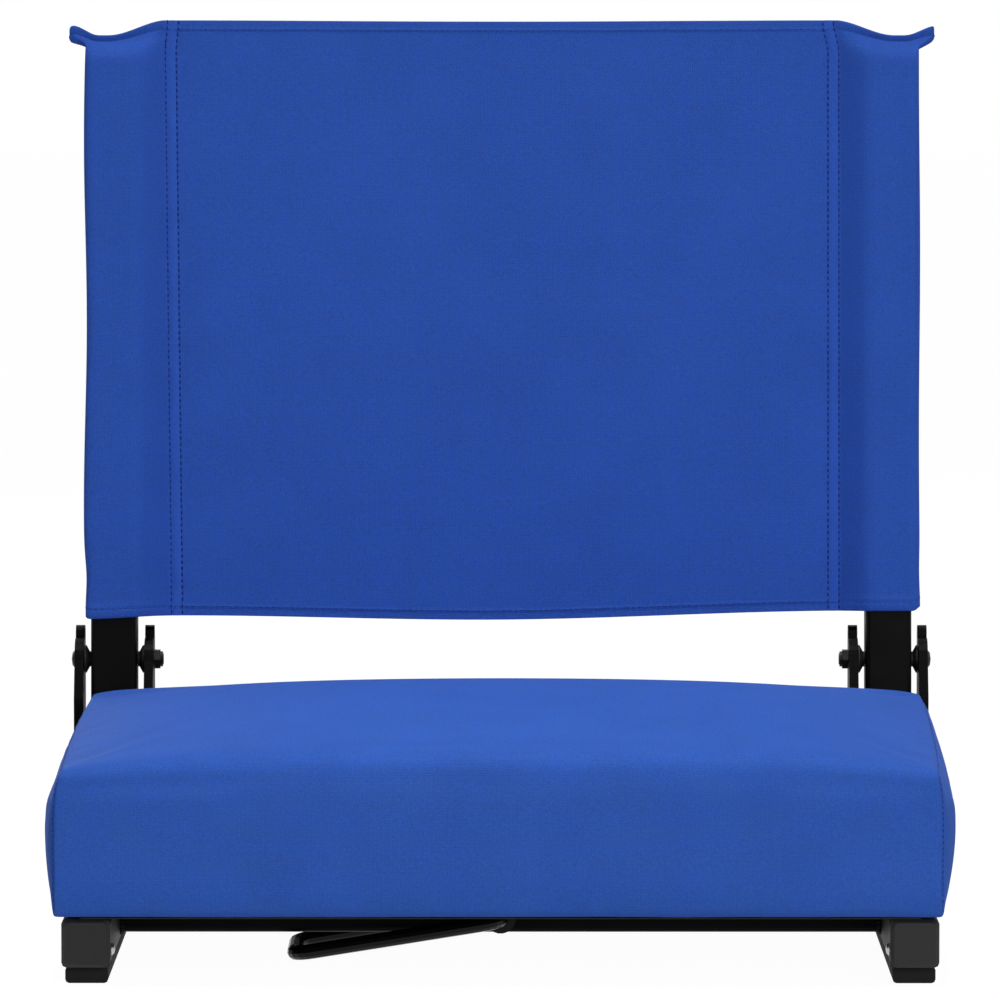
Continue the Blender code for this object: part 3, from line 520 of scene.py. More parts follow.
STITCH_SHARES = (-1, -0.7, -0.25, 0.25, 0.7, 1)
# Rise, width and height of a stitch in yarns: each at its ends, and what its arch adds
STITCH_FORM = ((-0.12, 0.28), (0.2, 0.3), (0.15, 0.25))


class CanvasBack:
    """Points of the canvas, row by row from the bottom edge to the top."""

    def __init__(self, sizes):
        self.sizes = sizes
        self.open_top = sizes.top - CLOSE_BELOW
        stitches = [sizes.hem_stitch + step for step in STITCH_ROWS]
        self.hem_steps = [*EDGE_ROWS, *stitches, *(sizes.hem + step for step in END_ROWS)]
        self.seam_steps = [sizes.seam_gap * step for step in SEAM_COLUMNS]
        self.levels = self.make_levels()
        self.rows = [self.row(kind, value) for kind, value in self.levels]
        self.middle = self.rows[len(self.rows) // 2]
        self.count = len(self.middle)
        self.left_seam = len(self.sleeve("left", *self.levels[0])) - 1
        self.right_seam = self.count - 1 - self.left_seam

    def make_levels(self):
        """Rows as (kind, value): up the bottom hem, the body, then the stretch that closes the sleeves."""
        closing = [*CLOSING_ROWS, *(1 - step / CLOSE_BELOW for step in self.hem_steps[::-1])]
        levels = [("hem", step) for step in self.hem_steps]
        levels += [("body", step / BODY_STEPS) for step in range(1, BODY_STEPS)]
        return levels + [("closing", value) for value in closing]

    def bottom(self, x):
        """Height of the bottom edge."""
        share = clamp(0.5 + x / (2 * SEAM_HALF))
        sag = BOTTOM_SAG * ease(1 - abs(x) / SEAM_HALF)
        drop = LEFT_DROP * ease((-x - SEAM_HALF) / DROP_WIDTH)
        corner = CORNER_RISE * ease((abs(x) - SLEEVE_EDGE + CORNER_INSIDE) / CORNER_WIDTH)
        return blend(BOTTOM_LEFT, BOTTOM_RIGHT, share) - sag - drop + corner

    def top(self, style, out, seam):
        """Height of the top edge, where out is the distance from the middle towards a side."""
        start, end, rise = style["rise"]
        dip = SLEEVE_DIP * ease((out - seam) / (DIP_AT - seam))
        corner = clamp((out - style["tip"]) / style["round"] + 1)
        fall = style["round"] * (1 - math.sqrt(1 - corner * corner))
        return self.sizes.top - dip + rise * ease((out - start) / (end - start)) - fall

    def height(self, kind, value, x, top):
        """Height of a row at one point across the canvas."""
        if kind == "hem":
            return self.bottom(x) + value
        start = self.bottom(x) + self.hem_steps[-1]
        if kind == "body":
            return blend(start, self.open_top, value)
        return blend(self.open_top, top - TOP_SAG * ease(1 - abs(x) / SEAM_HALF), value)

    def edge(self, side, level):
        """Outer edge of a sleeve, which is a little slack and drawn in near its hem."""
        inset, slack, tuck = SLEEVES[side]["edge"]
        wave = math.sin(level * EDGE_WAVE + SIDES[side])
        near_hem = math.exp(-((level - TUCK_AT) / TUCK_REACH) ** 2)
        return SLEEVE_EDGE - inset + slack * wave - tuck * near_hem

    def sleeve(self, side, kind, value):
        """Cloth from the front seam round the post to the end of the back flap, as points."""
        style = SLEEVES[side]
        sign = SIDES[side]
        level = self.height(kind, value, sign * SEAM_HALF, self.sizes.top)
        closing = value if kind == "closing" else 0
        seam = blend(*style["seam"], level / self.sizes.top)
        seam -= style["bend"] * ease(1 - (self.sizes.top - level) / BEND_BELOW)
        aside, crease = style["crease"]
        inner = POST_X - POST_SIZE / 2 + aside
        edge = self.edge(side, level)
        thick = self.thickness(kind, value)
        deep = POST_SIZE / 2 + thick + POST_GAP
        gap = SEAM_LAYERS * thick
        corners = [(seam, 0), (inner, -deep), (edge, -deep), (edge, deep), (inner, deep), (seam, gap)]
        path = rounded_path(corners, (crease, NOSE, NOSE, REAR_CREASE), SLEEVE_RUNS)
        run = run_of(path)
        apex = len(path) // 2
        shut = min(closing / SHUT_AT, 1) ** SHUT_POWER
        start, end, power = style["flare"]
        flare = ease((closing - start) / (end - start)) ** power
        layer = thick + LAYER_GAP + FAN * ease((closing - SHUT_AT) / (1 - SHUT_AT))
        points = []
        for place, point in enumerate(path):
            front = place <= apex
            share = run[place] / run[apex] if front else (run[-1] - run[place]) / (run[-1] - run[apex])
            flat = seam + share * (style["tip"] - seam)
            from_tip = clamp((style["tip"] - flat) / layer)
            apart = layer * min(math.sqrt(1 - (1 - from_tip) ** 2), PART_AT_SEAM + share / PART_OVER)
            out = blend(point.x, flat, flare)
            depth = blend(point.y, -apart if front else max(apart, gap * (1 - share)), shut)
            z = self.height(kind, value, sign * out, self.top(style, flat, seam))
            points.append(Vector((sign * out, depth, z)))
        points[0].y += GROOVE
        for step in self.seam_steps[:-1]:
            x = sign * (seam - step)
            z = self.height(kind, value, x, self.sizes.top)
            points.append(Vector((x, self.panel_depth(x) + gap, z)))
        return points

    def panel_depth(self, x):
        """Bow of the canvas between the seams."""
        return PANEL_BOW * max(1 - (x / SEAM_HALF) ** 2, 0)

    def panel(self, kind, value, left, right):
        """Cloth between the front seams, as points."""
        gap = self.sizes.seam_gap
        near = self.seam_steps
        across = [left + step for step in near]
        inside = right - left - 2 * near[-1]
        across += [left + near[-1] + inside * step / PANEL_STEPS for step in range(1, PANEL_STEPS)]
        across += [right - step for step in near[::-1]]
        points = []
        for x in across:
            from_seam = min(x - left, right - x)
            y = self.panel_depth(x)
            if from_seam < gap:
                y -= GROOVE * math.cos(math.tau * (from_seam / gap - 0.5))
            else:
                y += GROOVE * (1 - ease((from_seam - gap) / VALLEY))
            z = self.height(kind, value, x, self.sizes.top)
            pucker = noise.noise(Vector((x * SEAM_PUCKER_WAVES[0], 0.7, z * SEAM_PUCKER_WAVES[1])))
            y += SEAM_PUCKER * pucker * (1 - ease(from_seam / (gap + VALLEY)))
            points.append(Vector((x, y, z)))
        return points

    def row(self, kind, value):
        """One row of points from the left flap round the front to the right flap."""
        left = self.sleeve("left", kind, value)
        right = self.sleeve("right", kind, value)
        points = left[::-1] + self.panel(kind, value, left[0].x, right[0].x) + right
        groove = GROOVE / 2 if self.on_stitch(kind, value) else 0
        for point in points:
            drawn = min(groove, abs(point.y) * HEM_GROOVE)
            point.y += WRINKLE * noise.noise(point * WRINKLE_WAVES) + math.copysign(drawn, -point.y)
        return points

    def edge_distance(self, kind, value):
        """Distance of a row from the nearer edge of the canvas."""
        if kind == "hem":
            return value
        if kind == "closing":
            return (1 - value) * CLOSE_BELOW
        return CLOSE_BELOW

    def on_stitch(self, kind, value):
        """Whether a row lies along the stitches of a hem."""
        return abs(self.edge_distance(kind, value) - self.sizes.hem_stitch) < 1e-6

    def hem_weight(self, kind, value):
        """Share of a hem's extra thickness: round at the edge, fading out above the stitches."""
        edge = self.edge_distance(kind, value)
        fade = (edge - self.sizes.hem_stitch) / (self.sizes.hem - self.sizes.hem_stitch)
        return min(1, HEM_EDGE + edge / HEM_ROUND) * (1 - ease(fade))

    def thickness(self, kind, value):
        """Thickness of a row, with its hem."""
        return self.sizes.cloth * (1 + HEM_EXTRA * self.hem_weight(kind, value))

    def rubbed(self):
        """Painted highlight of the points of a row: on the raised strips between the two lines of
        each front seam.
        """
        painted_highlight = [0] * self.count
        strip = SECOND_LINE - 1
        for first in (self.left_seam + 1, self.right_seam - strip):
            painted_highlight[first:first + strip] = [SEAM_HIGHLIGHT_AMOUNT] * strip
        return painted_highlight

    def normal(self, row, column):
        """Direction out of the front of the cloth at a point."""
        points = self.rows[row]
        across = points[min(column + 1, self.count - 1)] - points[max(column - 1, 0)]
        up = self.rows[min(row + 1, len(self.rows) - 1)][column] - self.rows[max(row - 1, 0)][column]
        return across.cross(up).normalized()


def new_canvas(cloth, sizes):
    """The canvas as one sheet."""
    bm = bmesh.new()
    layer = bm.loops.layers.uv.new("flat")
    # painted highlight of each point, which the canvas material reads
    painted_highlight = bm.verts.layers.float.new(SEAM_HIGHLIGHT_ATTRIBUTE)
    across = run_of(cloth.middle)
    rubbed = cloth.rubbed()
    verts = [[bm.verts.new(BACK @ point) for point in row] for row in cloth.rows]
    for row in verts:
        for vert, amount in zip(row, rubbed):
            vert[painted_highlight] = amount
    flat = [[(run, point.z) for run, point in zip(across, row)] for row in cloth.rows]
    add_grid(bm, layer, verts, flat)
    material = canvas_weave("polyester_canvas_back", sizes.canvas, sizes.weave)
    piece = piece_from(bm, "canvas_back", material, "backrest")
    hems = piece.vertex_groups.new(name="hems")
    for row, level in enumerate(cloth.levels):
        places = range(row * cloth.count, (row + 1) * cloth.count)
        hems.add(list(places), cloth.hem_weight(*level), "REPLACE")
    thick = piece.modifiers.new("thickness", "SOLIDIFY")
    thick.thickness = (1 + HEM_EXTRA) * sizes.cloth
    thick.offset = -1
    thick.vertex_group = "hems"
    thick.thickness_vertex_group = 1 / (1 + HEM_EXTRA)
    return piece


def stitch(bm, centre, along, up, pitch, yarn):
    """One stitch: a short rod that dives into the cloth at both ends."""
    path = []
    radii = []
    for share in STITCH_SHARES:
        arch = 1 - share * share
        rise, wide, high = (yarn * (end + more * arch) for end, more in STITCH_FORM)
        path.append(centre + along * (pitch * STITCH_HALF * share) + up * rise)
        radii.append((wide, high))
    sweep(bm, path, [up] * len(path), radii, 6)


def sew(bm, path, ups, pitch, yarn):
    """Stitches along a path at an even pitch."""
    count = math.ceil(run_of(path)[-1] / pitch - 0.5)
    stops = [pitch * (index + 0.5) for index in range(count)]
    for step, share in places_along(path, stops):
        start, end = path[step:step + 2]
        up = ups[step].lerp(ups[step + 1], share).normalized()
        stitch(bm, start.lerp(end, share), (end - start).normalized(), up, pitch, yarn)


def new_back_stitching(cloth, sizes):
    """Rows of stitches along the sleeve seams and the hems, on the front and on the back, as two pieces."""
    rows = cloth.rows
    left = cloth.left_seam
    right = cloth.right_seam
    left_flap = len(cloth.seam_steps) - 1
    right_flap = cloth.count - 1 - left_flap
    bm = bmesh.new()
    lines = (left, left + SECOND_LINE, right, right - SECOND_LINE)
    lines += (left_flap, left_flap - SECOND_LINE, right_flap, right_flap + SECOND_LINE)
    inner = range(1, len(rows) - 1)
    for column in lines:
        ups = [cloth.normal(row, column) for row in inner]
        sew(bm, [rows[row][column] for row in inner], ups, sizes.stitch, sizes.seam_yarn)
    below = [sizes.top - row[left].z for row in rows]
    tack = [row for row, deep in enumerate(below) if TACK_BELOW[0] < deep < TACK_BELOW[1]]
    path = []
    for step, row in enumerate(tack):
        path.append(rows[row][left].lerp(rows[row][left - 1], TACK_ASIDE * step / len(tack)))
    sew(bm, path, [cloth.normal(row, left) for row in tack], sizes.stitch / 2, sizes.seam_yarn)
    bm.transform(BACK)
    # darker seam thread: painted shade of the seam grooves
    thread = twisted_thread("polyester_seam_thread", sizes.thread)
    seam_piece = piece_from(bm, "back_seam_stitching", thread, "backrest")
    bm = bmesh.new()
    panel = range(left + SECOND_LINE + 1, right - SECOND_LINE)
    for row, level in enumerate(cloth.levels):
        if not cloth.on_stitch(*level):
            continue
        for columns, facing, deep in ((range(cloth.count), 1, 0), (panel, -1, cloth.thickness(*level))):
            ups = [cloth.normal(row, column) * facing for column in columns]
            path = [rows[row][column] + up * deep for column, up in zip(columns, ups)]
            sew(bm, path, ups, sizes.stitch, sizes.hem_yarn)
    bm.transform(BACK)
    thread = twisted_thread("polyester_hem_thread", sizes.hem_thread)
    return [seam_piece, piece_from(bm, "back_hem_stitching", thread, "backrest")]


class SEAT_OT_canvas_back(bpy.types.Operator):
    """Make the canvas back with its sleeves, hems and stitches"""

    bl_idname = "seat.canvas_back"
    bl_label = "Canvas back"

    def execute(self, context):
        sizes = context.scene.seat_canvas_back
        cloth = CanvasBack(sizes)
        piece = new_canvas(cloth, sizes)
        stitching = new_back_stitching(cloth, sizes)
        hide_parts("cloth_back")
        cut = (run_of(cloth.middle)[-1], sizes.top - BOTTOM_LEFT + 2 * sizes.hem)
        return {"FINISHED"}


# Seat cushion

FROM_SEAM = "from_seam"  # attribute of the cover: distance from the nearer side seam
SEAT_BOTTOM = COVER_LOW.z
FRONT_TOP = 0.1125  # edge of the top at the front and at the rear
REAR_TOP = 0.1241
END_SWELL = 0.006  # of the solid's front and rear
SEAT_FRONT = COVER_LOW.y + END_SWELL
SEAT_REAR = COVER_HIGH.y - END_SWELL
HALF_LOW = 0.2268  # from the middle to the side seams, at the bottom
HALF_HIGH = (0.2234, 0.2258)  # the same at the front and at the rear of the top
HALF_BOW = 0.0018  # sides of the top swell between its corners
HALF_POWER = 8  # narrows close to the top only
DROOP = 0.0003  # cover below the board along the front, and how that wanders
DROOP_WANDER = 0.0004
DROOP_WAVES = 22
DROOP_DEPTH = 0.08  # share of the seat's depth that droops, where the cover faces down
DROOP_FACING = 1.5
FRONT_SHIFT = -0.0012  # middle of the cushion, at the front and at the rear
REAR_SHIFT = 0.0030
TOP_SHIFT = 0.0006  # front of the top against the front below it
FRONT_ROLL = 0.0065
REAR_ROLL = 0.005
BOTTOM_ROLL = 0.010
ROLL_STEPS = 16  # points of the side view round a roll and between two of them
FLAT_STEPS = 4
EDGE_STEPS = 3  # points round the edge on which a side seam lies
END_TURN = math.radians(48)  # place of the side seams on that edge, at the front and at the top
TOP_TURN = math.radians(108)  # tucked under the edge
TURN_FACING = 1.4  # seam passes from the one place to the other as the cover comes to face up
TURN_AFTER = 0.3
CROWN_AT_EDGE = 0.18  # swelling of the top at its edges, and a quarter of the way over it
CROWN_AT_QUARTER = 0.74
ROUND_SHARE = 0.4  # of the swelling falls off evenly to the sides, the rest close to them
FULL_POWER = 5
SIDE_RINGS = (0.0018, 0.0042, 0.0072)  # first rows of the side panels, from their seam
SIDE_ONSET = 0.3  # share of the height over which it swells below its top, and where it is fullest
SIDE_MOST = 0.39
SIDE_FULL = 0.034  # distance from the seam at which a side panel is fully swollen
SIDE_POWER = 2.2
SIDE_UNEVEN = 0.12
CELL = 0.005  # faces of the cover before the filling swells it
HELD_BESIDE = 0.0005  # cover that the filling can't move: beside the seams and on the underside
HELD_ABOVE = 0.001
SEAM_ABOVE = 0.003  # height above the bottom from which the seams show
SEAM_GROOVE = 0.0010
GROOVE_WIDTH = 0.0011
PUCKER = 0.0005
PUCKER_AT = 0.010  # fullest at this distance from the seam
PUCKER_REACH = 0.011
PUCKER_WAVES = (3, 77, 70)  # to the side, to the rear and up
THREAD_LIFT = 0.0003
SIM_FRAMES = 20


class SeatForm:
    """Form of the stuffed cover: its side view, how it swells, and its grid of points."""

    def __init__(self, sizes):
        self.sizes = sizes
        middle = ((SEAT_FRONT + SEAT_REAR) / 2, SEAT_BOTTOM)
        bends = [
            middle, (SEAT_REAR, SEAT_BOTTOM), (SEAT_REAR, REAR_TOP),
            (SEAT_FRONT, FRONT_TOP), (SEAT_FRONT, SEAT_BOTTOM), middle,
        ]
        rolls = (BOTTOM_ROLL, REAR_ROLL, FRONT_ROLL, BOTTOM_ROLL)
        path = rounded_path(bends, rolls, [even(FLAT_STEPS)] * (len(bends) - 1), ROLL_STEPS)
        split = [
            FLAT_STEPS + ROLL_STEPS // 2 + index * (FLAT_STEPS + ROLL_STEPS) for index in range(len(rolls))
        ]
        sides = [path[split[-1]:-1] + path[:split[0] + 1]]
        sides += [path[first:last + 1] for first, last in zip(split, split[1:])]
        self.across = round((SEAT_REAR - SEAT_FRONT) / CELL)
        self.upright = round((REAR_TOP - SEAT_BOTTOM) / CELL)
        self.loop = []
        self.corners = [0]
        for side, count in zip(sides, (self.across, self.upright) * 2):
            self.loop += spread_along(side, count)[:-1]
            self.corners.append(len(self.loop))
        self.size = len(self.loop)
        self.normals = [self.normal(place) for place in range(self.size)]
        self.run = run_of(self.loop + self.loop[:1])
        self.swells = self.swell_knots()

    def normal(self, place):
        """Direction out of the side view at one of its points."""
        along = self.loop[(place + 1) % self.size] - self.loop[place - 1]
        return Vector((along.y, -along.x)).normalized()

    def swell_knots(self):
        """Swelling at places round the side view, as (run, amount)."""
        rear, top, front = self.corners[1:4]
        half_up = self.upright // 2
        end = self.sizes.end_bulge
        crown = self.sizes.crown
        roll = CROWN_AT_EDGE * crown
        quarter = roll + CROWN_AT_QUARTER * (crown - roll)
        marks = (
            (0, 0), (self.across // 2, 0), (rear, 0), (rear + half_up, end),
            (top, roll), (top + self.across // 4, quarter), (top + self.across // 2, crown),
            (top + 3 * self.across // 4, quarter), (front, roll), (front + half_up, end),
        )
        return [(self.run[place], amount) for place, amount in marks]

    def swell(self, place):
        """Swelling of the middle of the cover, smooth through the knots."""
        at = self.run[place]
        total = self.run[-1]
        knots = self.swells
        count = len(knots)
        index = max(number for number in range(count) if knots[number][0] <= at)

        def knot(number):
            run, amount = knots[number % count]
            return run + total * (number // count), amount

        def slope(number):
            (low, before), (high, after) = knot(number - 1), knot(number + 1)
            return (after - before) / (high - low)

        (low, start), (high, end) = knot(index), knot(index + 1)
        span = high - low
        share = (at - low) / span
        square, cube = share ** 2, share ** 3
        value = (2 * cube - 3 * square + 1) * start + (cube - 2 * square + share) * span * slope(index)
        return value + (3 * square - 2 * cube) * end + (cube - square) * span * slope(index + 1)

    def back_share(self, y):
        """0 at the front of the seat, 1 at its rear."""
        return (y - SEAT_FRONT) / (SEAT_REAR - SEAT_FRONT)

    def up_share(self, y, z):
        """0 at the bottom of the seat, 1 at the edge of its top."""
        high = blend(FRONT_TOP, REAR_TOP, self.back_share(y))
        return clamp((z - SEAT_BOTTOM) / (high - SEAT_BOTTOM))

    def half_width(self, y, z):
        """From the middle to a side seam."""
        back = self.back_share(y)
        high = blend(*HALF_HIGH, back) + HALF_BOW * 4 * back * (1 - back)
        return blend(HALF_LOW, high, self.up_share(y, z) ** HALF_POWER)

    def shift(self, y, z):
        """Place of the middle of the cushion."""
        back = self.back_share(y)
        top = TOP_SHIFT * self.up_share(y, z) ** HALF_POWER
        return blend(FRONT_SHIFT + top, REAR_SHIFT, back)

    def droop(self, place, x):
        """Slack of the cover below the front edge of the board."""
        front = ease(1 - self.back_share(self.loop[place].x) / DROOP_DEPTH)
        under = ease(-DROOP_FACING * self.normals[place].y)
        wander = DROOP_WANDER * noise.noise(Vector((x * DROOP_WAVES, 0.3, 0.6)))
        return front * under * (DROOP + wander)

    def seam_turn(self, place):
        """How far round the edge the side seam lies."""
        return blend(END_TURN, TOP_TURN, ease(TURN_FACING * self.normals[place].y - TURN_AFTER))

    def wrap_point(self, place, across, turned):
        """Point of the wrapped panel: across from -1 to 1 between its round edges, turned to the seam."""
        point = self.loop[place]
        normal = self.normals[place]
        edge = self.sizes.edge
        half = self.half_width(*point)
        turn = turned * self.seam_turn(place)
        x = across * (half - edge * math.sin(END_TURN)) + math.copysign(edge * math.sin(turn), across)
        aside = min(abs(x / half), 1)
        full = ROUND_SHARE * (1 - aside ** 2) + (1 - ROUND_SHARE) * (1 - aside ** FULL_POWER)
        out = self.swell(place) * full - edge * (1 - math.cos(turn))
        lift = self.sizes.lift * full * ease(self.up_share(*point)) * (1 - self.back_share(point.x))
        y = point.x + normal.x * out
        z = point.y + normal.y * out + lift - self.droop(place, x)
        return Vector((x + self.shift(*point), y, z))

    def side_base(self, place, sign, inside):
        """Point of a flat side panel at a distance inside its seam."""
        edge = self.sizes.edge
        turn = self.seam_turn(place)
        point = self.loop[place] - self.normals[place] * (edge * (1 - math.cos(turn)) + inside)
        x = self.half_width(*self.loop[place]) + edge * (math.sin(turn) - math.sin(END_TURN))
        return Vector((sign * x + self.shift(*self.loop[place]), point.x, point.y))

    def side_rows(self, sign):
        """Rows of a flat side panel inside its seam, which straighten out between their corners."""
        seam = [self.side_base(place, sign, 0) for place in range(self.size)]
        inner = []
        for first, last in zip(self.corners, self.corners[1:]):
            start = self.side_base(first, sign, SIDE_RINGS[-1])
            end = self.side_base(last % self.size, sign, SIDE_RINGS[-1])
            for place in range(first, last):
                point = start.lerp(end, (place - first) / (last - first))
                point.x = seam[place].x
                inner.append(point)
        shares = [inside / SIDE_RINGS[-1] for inside in SIDE_RINGS]
        return [[edge.lerp(point, share) for edge, point in zip(seam, inner)] for share in shares]

    def four_sides(self, items):
        """Items of a row of a side panel as its lower, upper, front and rear side."""
        rear, top, front = self.corners[1:4]
        ring = items + items[:1]
        return ring[:rear + 1], ring[top:front + 1][::-1], ring[front:][::-1], ring[rear:top + 1]

    def side_swollen(self, base, sign):
        """The same point of the swollen panel; the right one is a little fuller."""
        amount = self.sizes.side_bulge * (1 + SIDE_UNEVEN * sign)
        up = self.up_share(base.y, base.z)
        ends = clamp(min(base.y - SEAT_FRONT, SEAT_REAR - base.y) / SIDE_FULL)
        below = max(1 - up - SIDE_MOST, 0) / (1 - SIDE_MOST)
        amount *= ease((1 - up) / SIDE_ONSET) * (1 - below ** 2) * (1 - (1 - ends) ** SIDE_POWER)
        return base + Vector((sign * amount, 0, 0))


def seat_mesh(form):
    """Cover of three panels: one wrapped round front, top, rear and underside, and one on each side."""
    bm = bmesh.new()
    layer = bm.loops.layers.uv.new("flat")
    seam_layer = bm.verts.layers.float.new(FROM_SEAM)
    columns = round(2 * (HALF_LOW - form.sizes.edge) / CELL)
    turns = even(EDGE_STEPS)
    stations = [(-1, turn) for turn in turns[::-1]]
    stations += [(-1 + 2 * step / columns, 0) for step in range(columns + 1)]
    stations += [(1, turn) for turn in turns]
    wrap = []
    for across, turn in stations:
        wrap.append([bm.verts.new(form.wrap_point(place, across, turn)) for place in range(form.size)])
    widths = run_of([column[0].co for column in wrap])
    for column, width in zip(wrap, widths):
        for vert in column:
            vert[seam_layer] = min(width, widths[-1] - width)
    flat = [[(width, run) for run in form.run] for width in widths]
    add_grid(bm, layer, [column + column[:1] for column in wrap], flat)
    seams = (wrap[0], wrap[-1])
    for seam, sign in zip(seams, SIDES.values()):
        add_side_panel(bm, layer, seam_layer, form, seam, sign)
    bm.verts.index_update()
    return bm, [[vert.index for vert in seam] for seam in seams]


def add_side_panel(bm, layer, seam_layer, form, seam, sign):
    """Side panel inside a seam: rows that follow the seam, then a patch inside them."""
    turned = sign < 0
    ring = seam
    before = 0
    for inside, bases in zip(SIDE_RINGS, form.side_rows(sign)):
        after = [bm.verts.new(form.side_swollen(base, sign)) for base in bases]
        for vert in after:
            vert[seam_layer] = inside
        flat = [[(run, level) for run in form.run] for level in (before, inside)]
        add_grid(bm, layer, [ring + ring[:1], after + after[:1]], flat, turned)
        ring = after
        before = inside
    across = form.across
    upright = form.upright
    low, high, front, rear = form.four_sides(bases)
    low_verts, high_verts, front_verts, rear_verts = form.four_sides(ring)
    rows = [low_verts]
    for up in range(1, upright):
        v = up / upright
        row = [front_verts[up]]
        for along in range(1, across):
            u = along / across
            base = blend(low[along], high[along], v) + blend(front[up], rear[up], u)
            base -= blend(blend(low[0], low[-1], u), blend(high[0], high[-1], u), v)
            vert = bm.verts.new(form.side_swollen(base, sign))
            vert[seam_layer] = SIDE_RINGS[-1] + CELL * min(up, upright - up, along, across - along)
            row.append(vert)
        rows.append([*row, rear_verts[up]])
    rows.append(high_verts)
    flat = [[(vert.co.y, vert.co.z) for vert in row] for row in rows]
    add_grid(bm, layer, rows, flat, turned)


def swell_cover(piece, sizes, held):
    """Fills the cover: cloth under pressure, held along its seams and under the board."""
    group = piece.vertex_groups.new(name="held")
    group.add(held, 1, "REPLACE")
    rest = [vert.co.copy() for vert in piece.data.vertices]
    filling = piece.modifiers.new("filling", "CLOTH")
    filling.settings.use_pressure = True
    filling.settings.uniform_pressure_force = sizes.pressure
    filling.settings.vertex_group_mass = "held"
    filling.settings.quality = 5
    filling.settings.mass = 0.3
    filling.settings.effector_weights.gravity = 0
    filling.point_cache.frame_start = 1
    filling.point_cache.frame_end = SIM_FRAMES
    scene = bpy.context.scene
    for number in range(1, SIM_FRAMES + 1):
        scene.frame_set(number)
    swollen = piece.evaluated_get(bpy.context.evaluated_depsgraph_get())
    for vert, start, end in zip(piece.data.vertices, rest, swollen.data.vertices):
        push = end.co - start
        vert.co = start + push / (1 + push.length / sizes.swell)
    piece.modifiers.remove(filling)
    scene.frame_set(1)


def draw_seams(mesh):
    """Draws the seams in, with short puckers across them that die out on the panels."""
    aside, back, up = PUCKER_WAVES
    normals = [vert.normal.copy() for vert in mesh.vertices]
    for vert, normal, from_seam in zip(mesh.vertices, normals, mesh.attributes[FROM_SEAM].data):
        if vert.co.z < SEAT_BOTTOM + SEAM_ABOVE:
            continue
        near = math.exp(-(from_seam.value / GROOVE_WIDTH) ** 2)
        beside = math.exp(-((from_seam.value - PUCKER_AT) / PUCKER_REACH) ** 2)
        pucker = noise.noise(Vector((vert.co.y * back + vert.co.z * up, vert.co.x * aside, 1.7)))
        vert.co += normal * (PUCKER * beside * pucker - SEAM_GROOVE * near)


def new_seat_stitching(mesh, seams, sizes):
    """Stitches that show in the groove of each side seam."""
    bm = bmesh.new()
    for seam in seams:
        verts = [mesh.vertices[place] for place in seam + seam[:1]]
        shown = [vert for vert in verts if vert.co.z > SEAT_BOTTOM + SEAM_ABOVE]
        path = [vert.co + vert.normal * THREAD_LIFT for vert in shown]
        sew(bm, path, [vert.normal.copy() for vert in shown], sizes.stitch, sizes.yarn)
    thread = twisted_thread("polyester_seat_thread", sizes.thread)
    return piece_from(bm, "seat_stitching", thread, "base")


class SEAT_OT_seat_cushion(bpy.types.Operator):
    """Make the padded seat, swollen by its filling"""

    bl_idname = "seat.seat_cushion"
    bl_label = "Seat cushion"

    def execute(self, context):
        sizes = context.scene.seat_cushion
        bm, seams = seat_mesh(SeatForm(sizes))
        seam_layer = bm.verts.layers.float[FROM_SEAM]
        held = []
        for vert in bm.verts:
            if vert[seam_layer] < HELD_BESIDE or vert.co.z < SEAT_BOTTOM + HELD_ABOVE:
                held.append(vert.index)
        material = canvas_weave("polyester_canvas_seat", sizes.canvas, sizes.weave)
        piece = piece_from(bm, "seat_cushion", material, "base")
        swell_cover(piece, sizes, held)
        draw_seams(piece.data)
        new_seat_stitching(piece.data, seams, sizes)
        smooth = piece.modifiers.new("smooth", "SUBSURF")
        smooth.levels = 1
        smooth.render_levels = 1
        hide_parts("seat_cover", "seat_foam")
        return {"FINISHED"}


# Underside

RAIL_INSIDE = POST_X - (RAIL_HIGH.x - RAIL_LOW.x) / 2
DUST_LEVEL = (DUST_LOW.z + DUST_HIGH.z) / 2
DUST_CELLS = (60, 40)
DUST_THICK = 0.0005
SAG_OVER = 0.03  # distance from rails, bars and edges over which the cloth comes to hang free
SAG_WANDER = 0.21
SAG_WAVES = 18
STAPLE_CROWN = 0.010
STAPLE_WIRE = (0.0006, 0.00035)
STAPLE_INSET = 0.013  # from the edge of the cloth, and the last ones from the rails
STAPLE_ASIDE = 0.012
STAPLE_FORM = ((1, 0.0014), (1, 0), (0.9, -0.0003))  # leg to crown, as shares of half the crown and heights


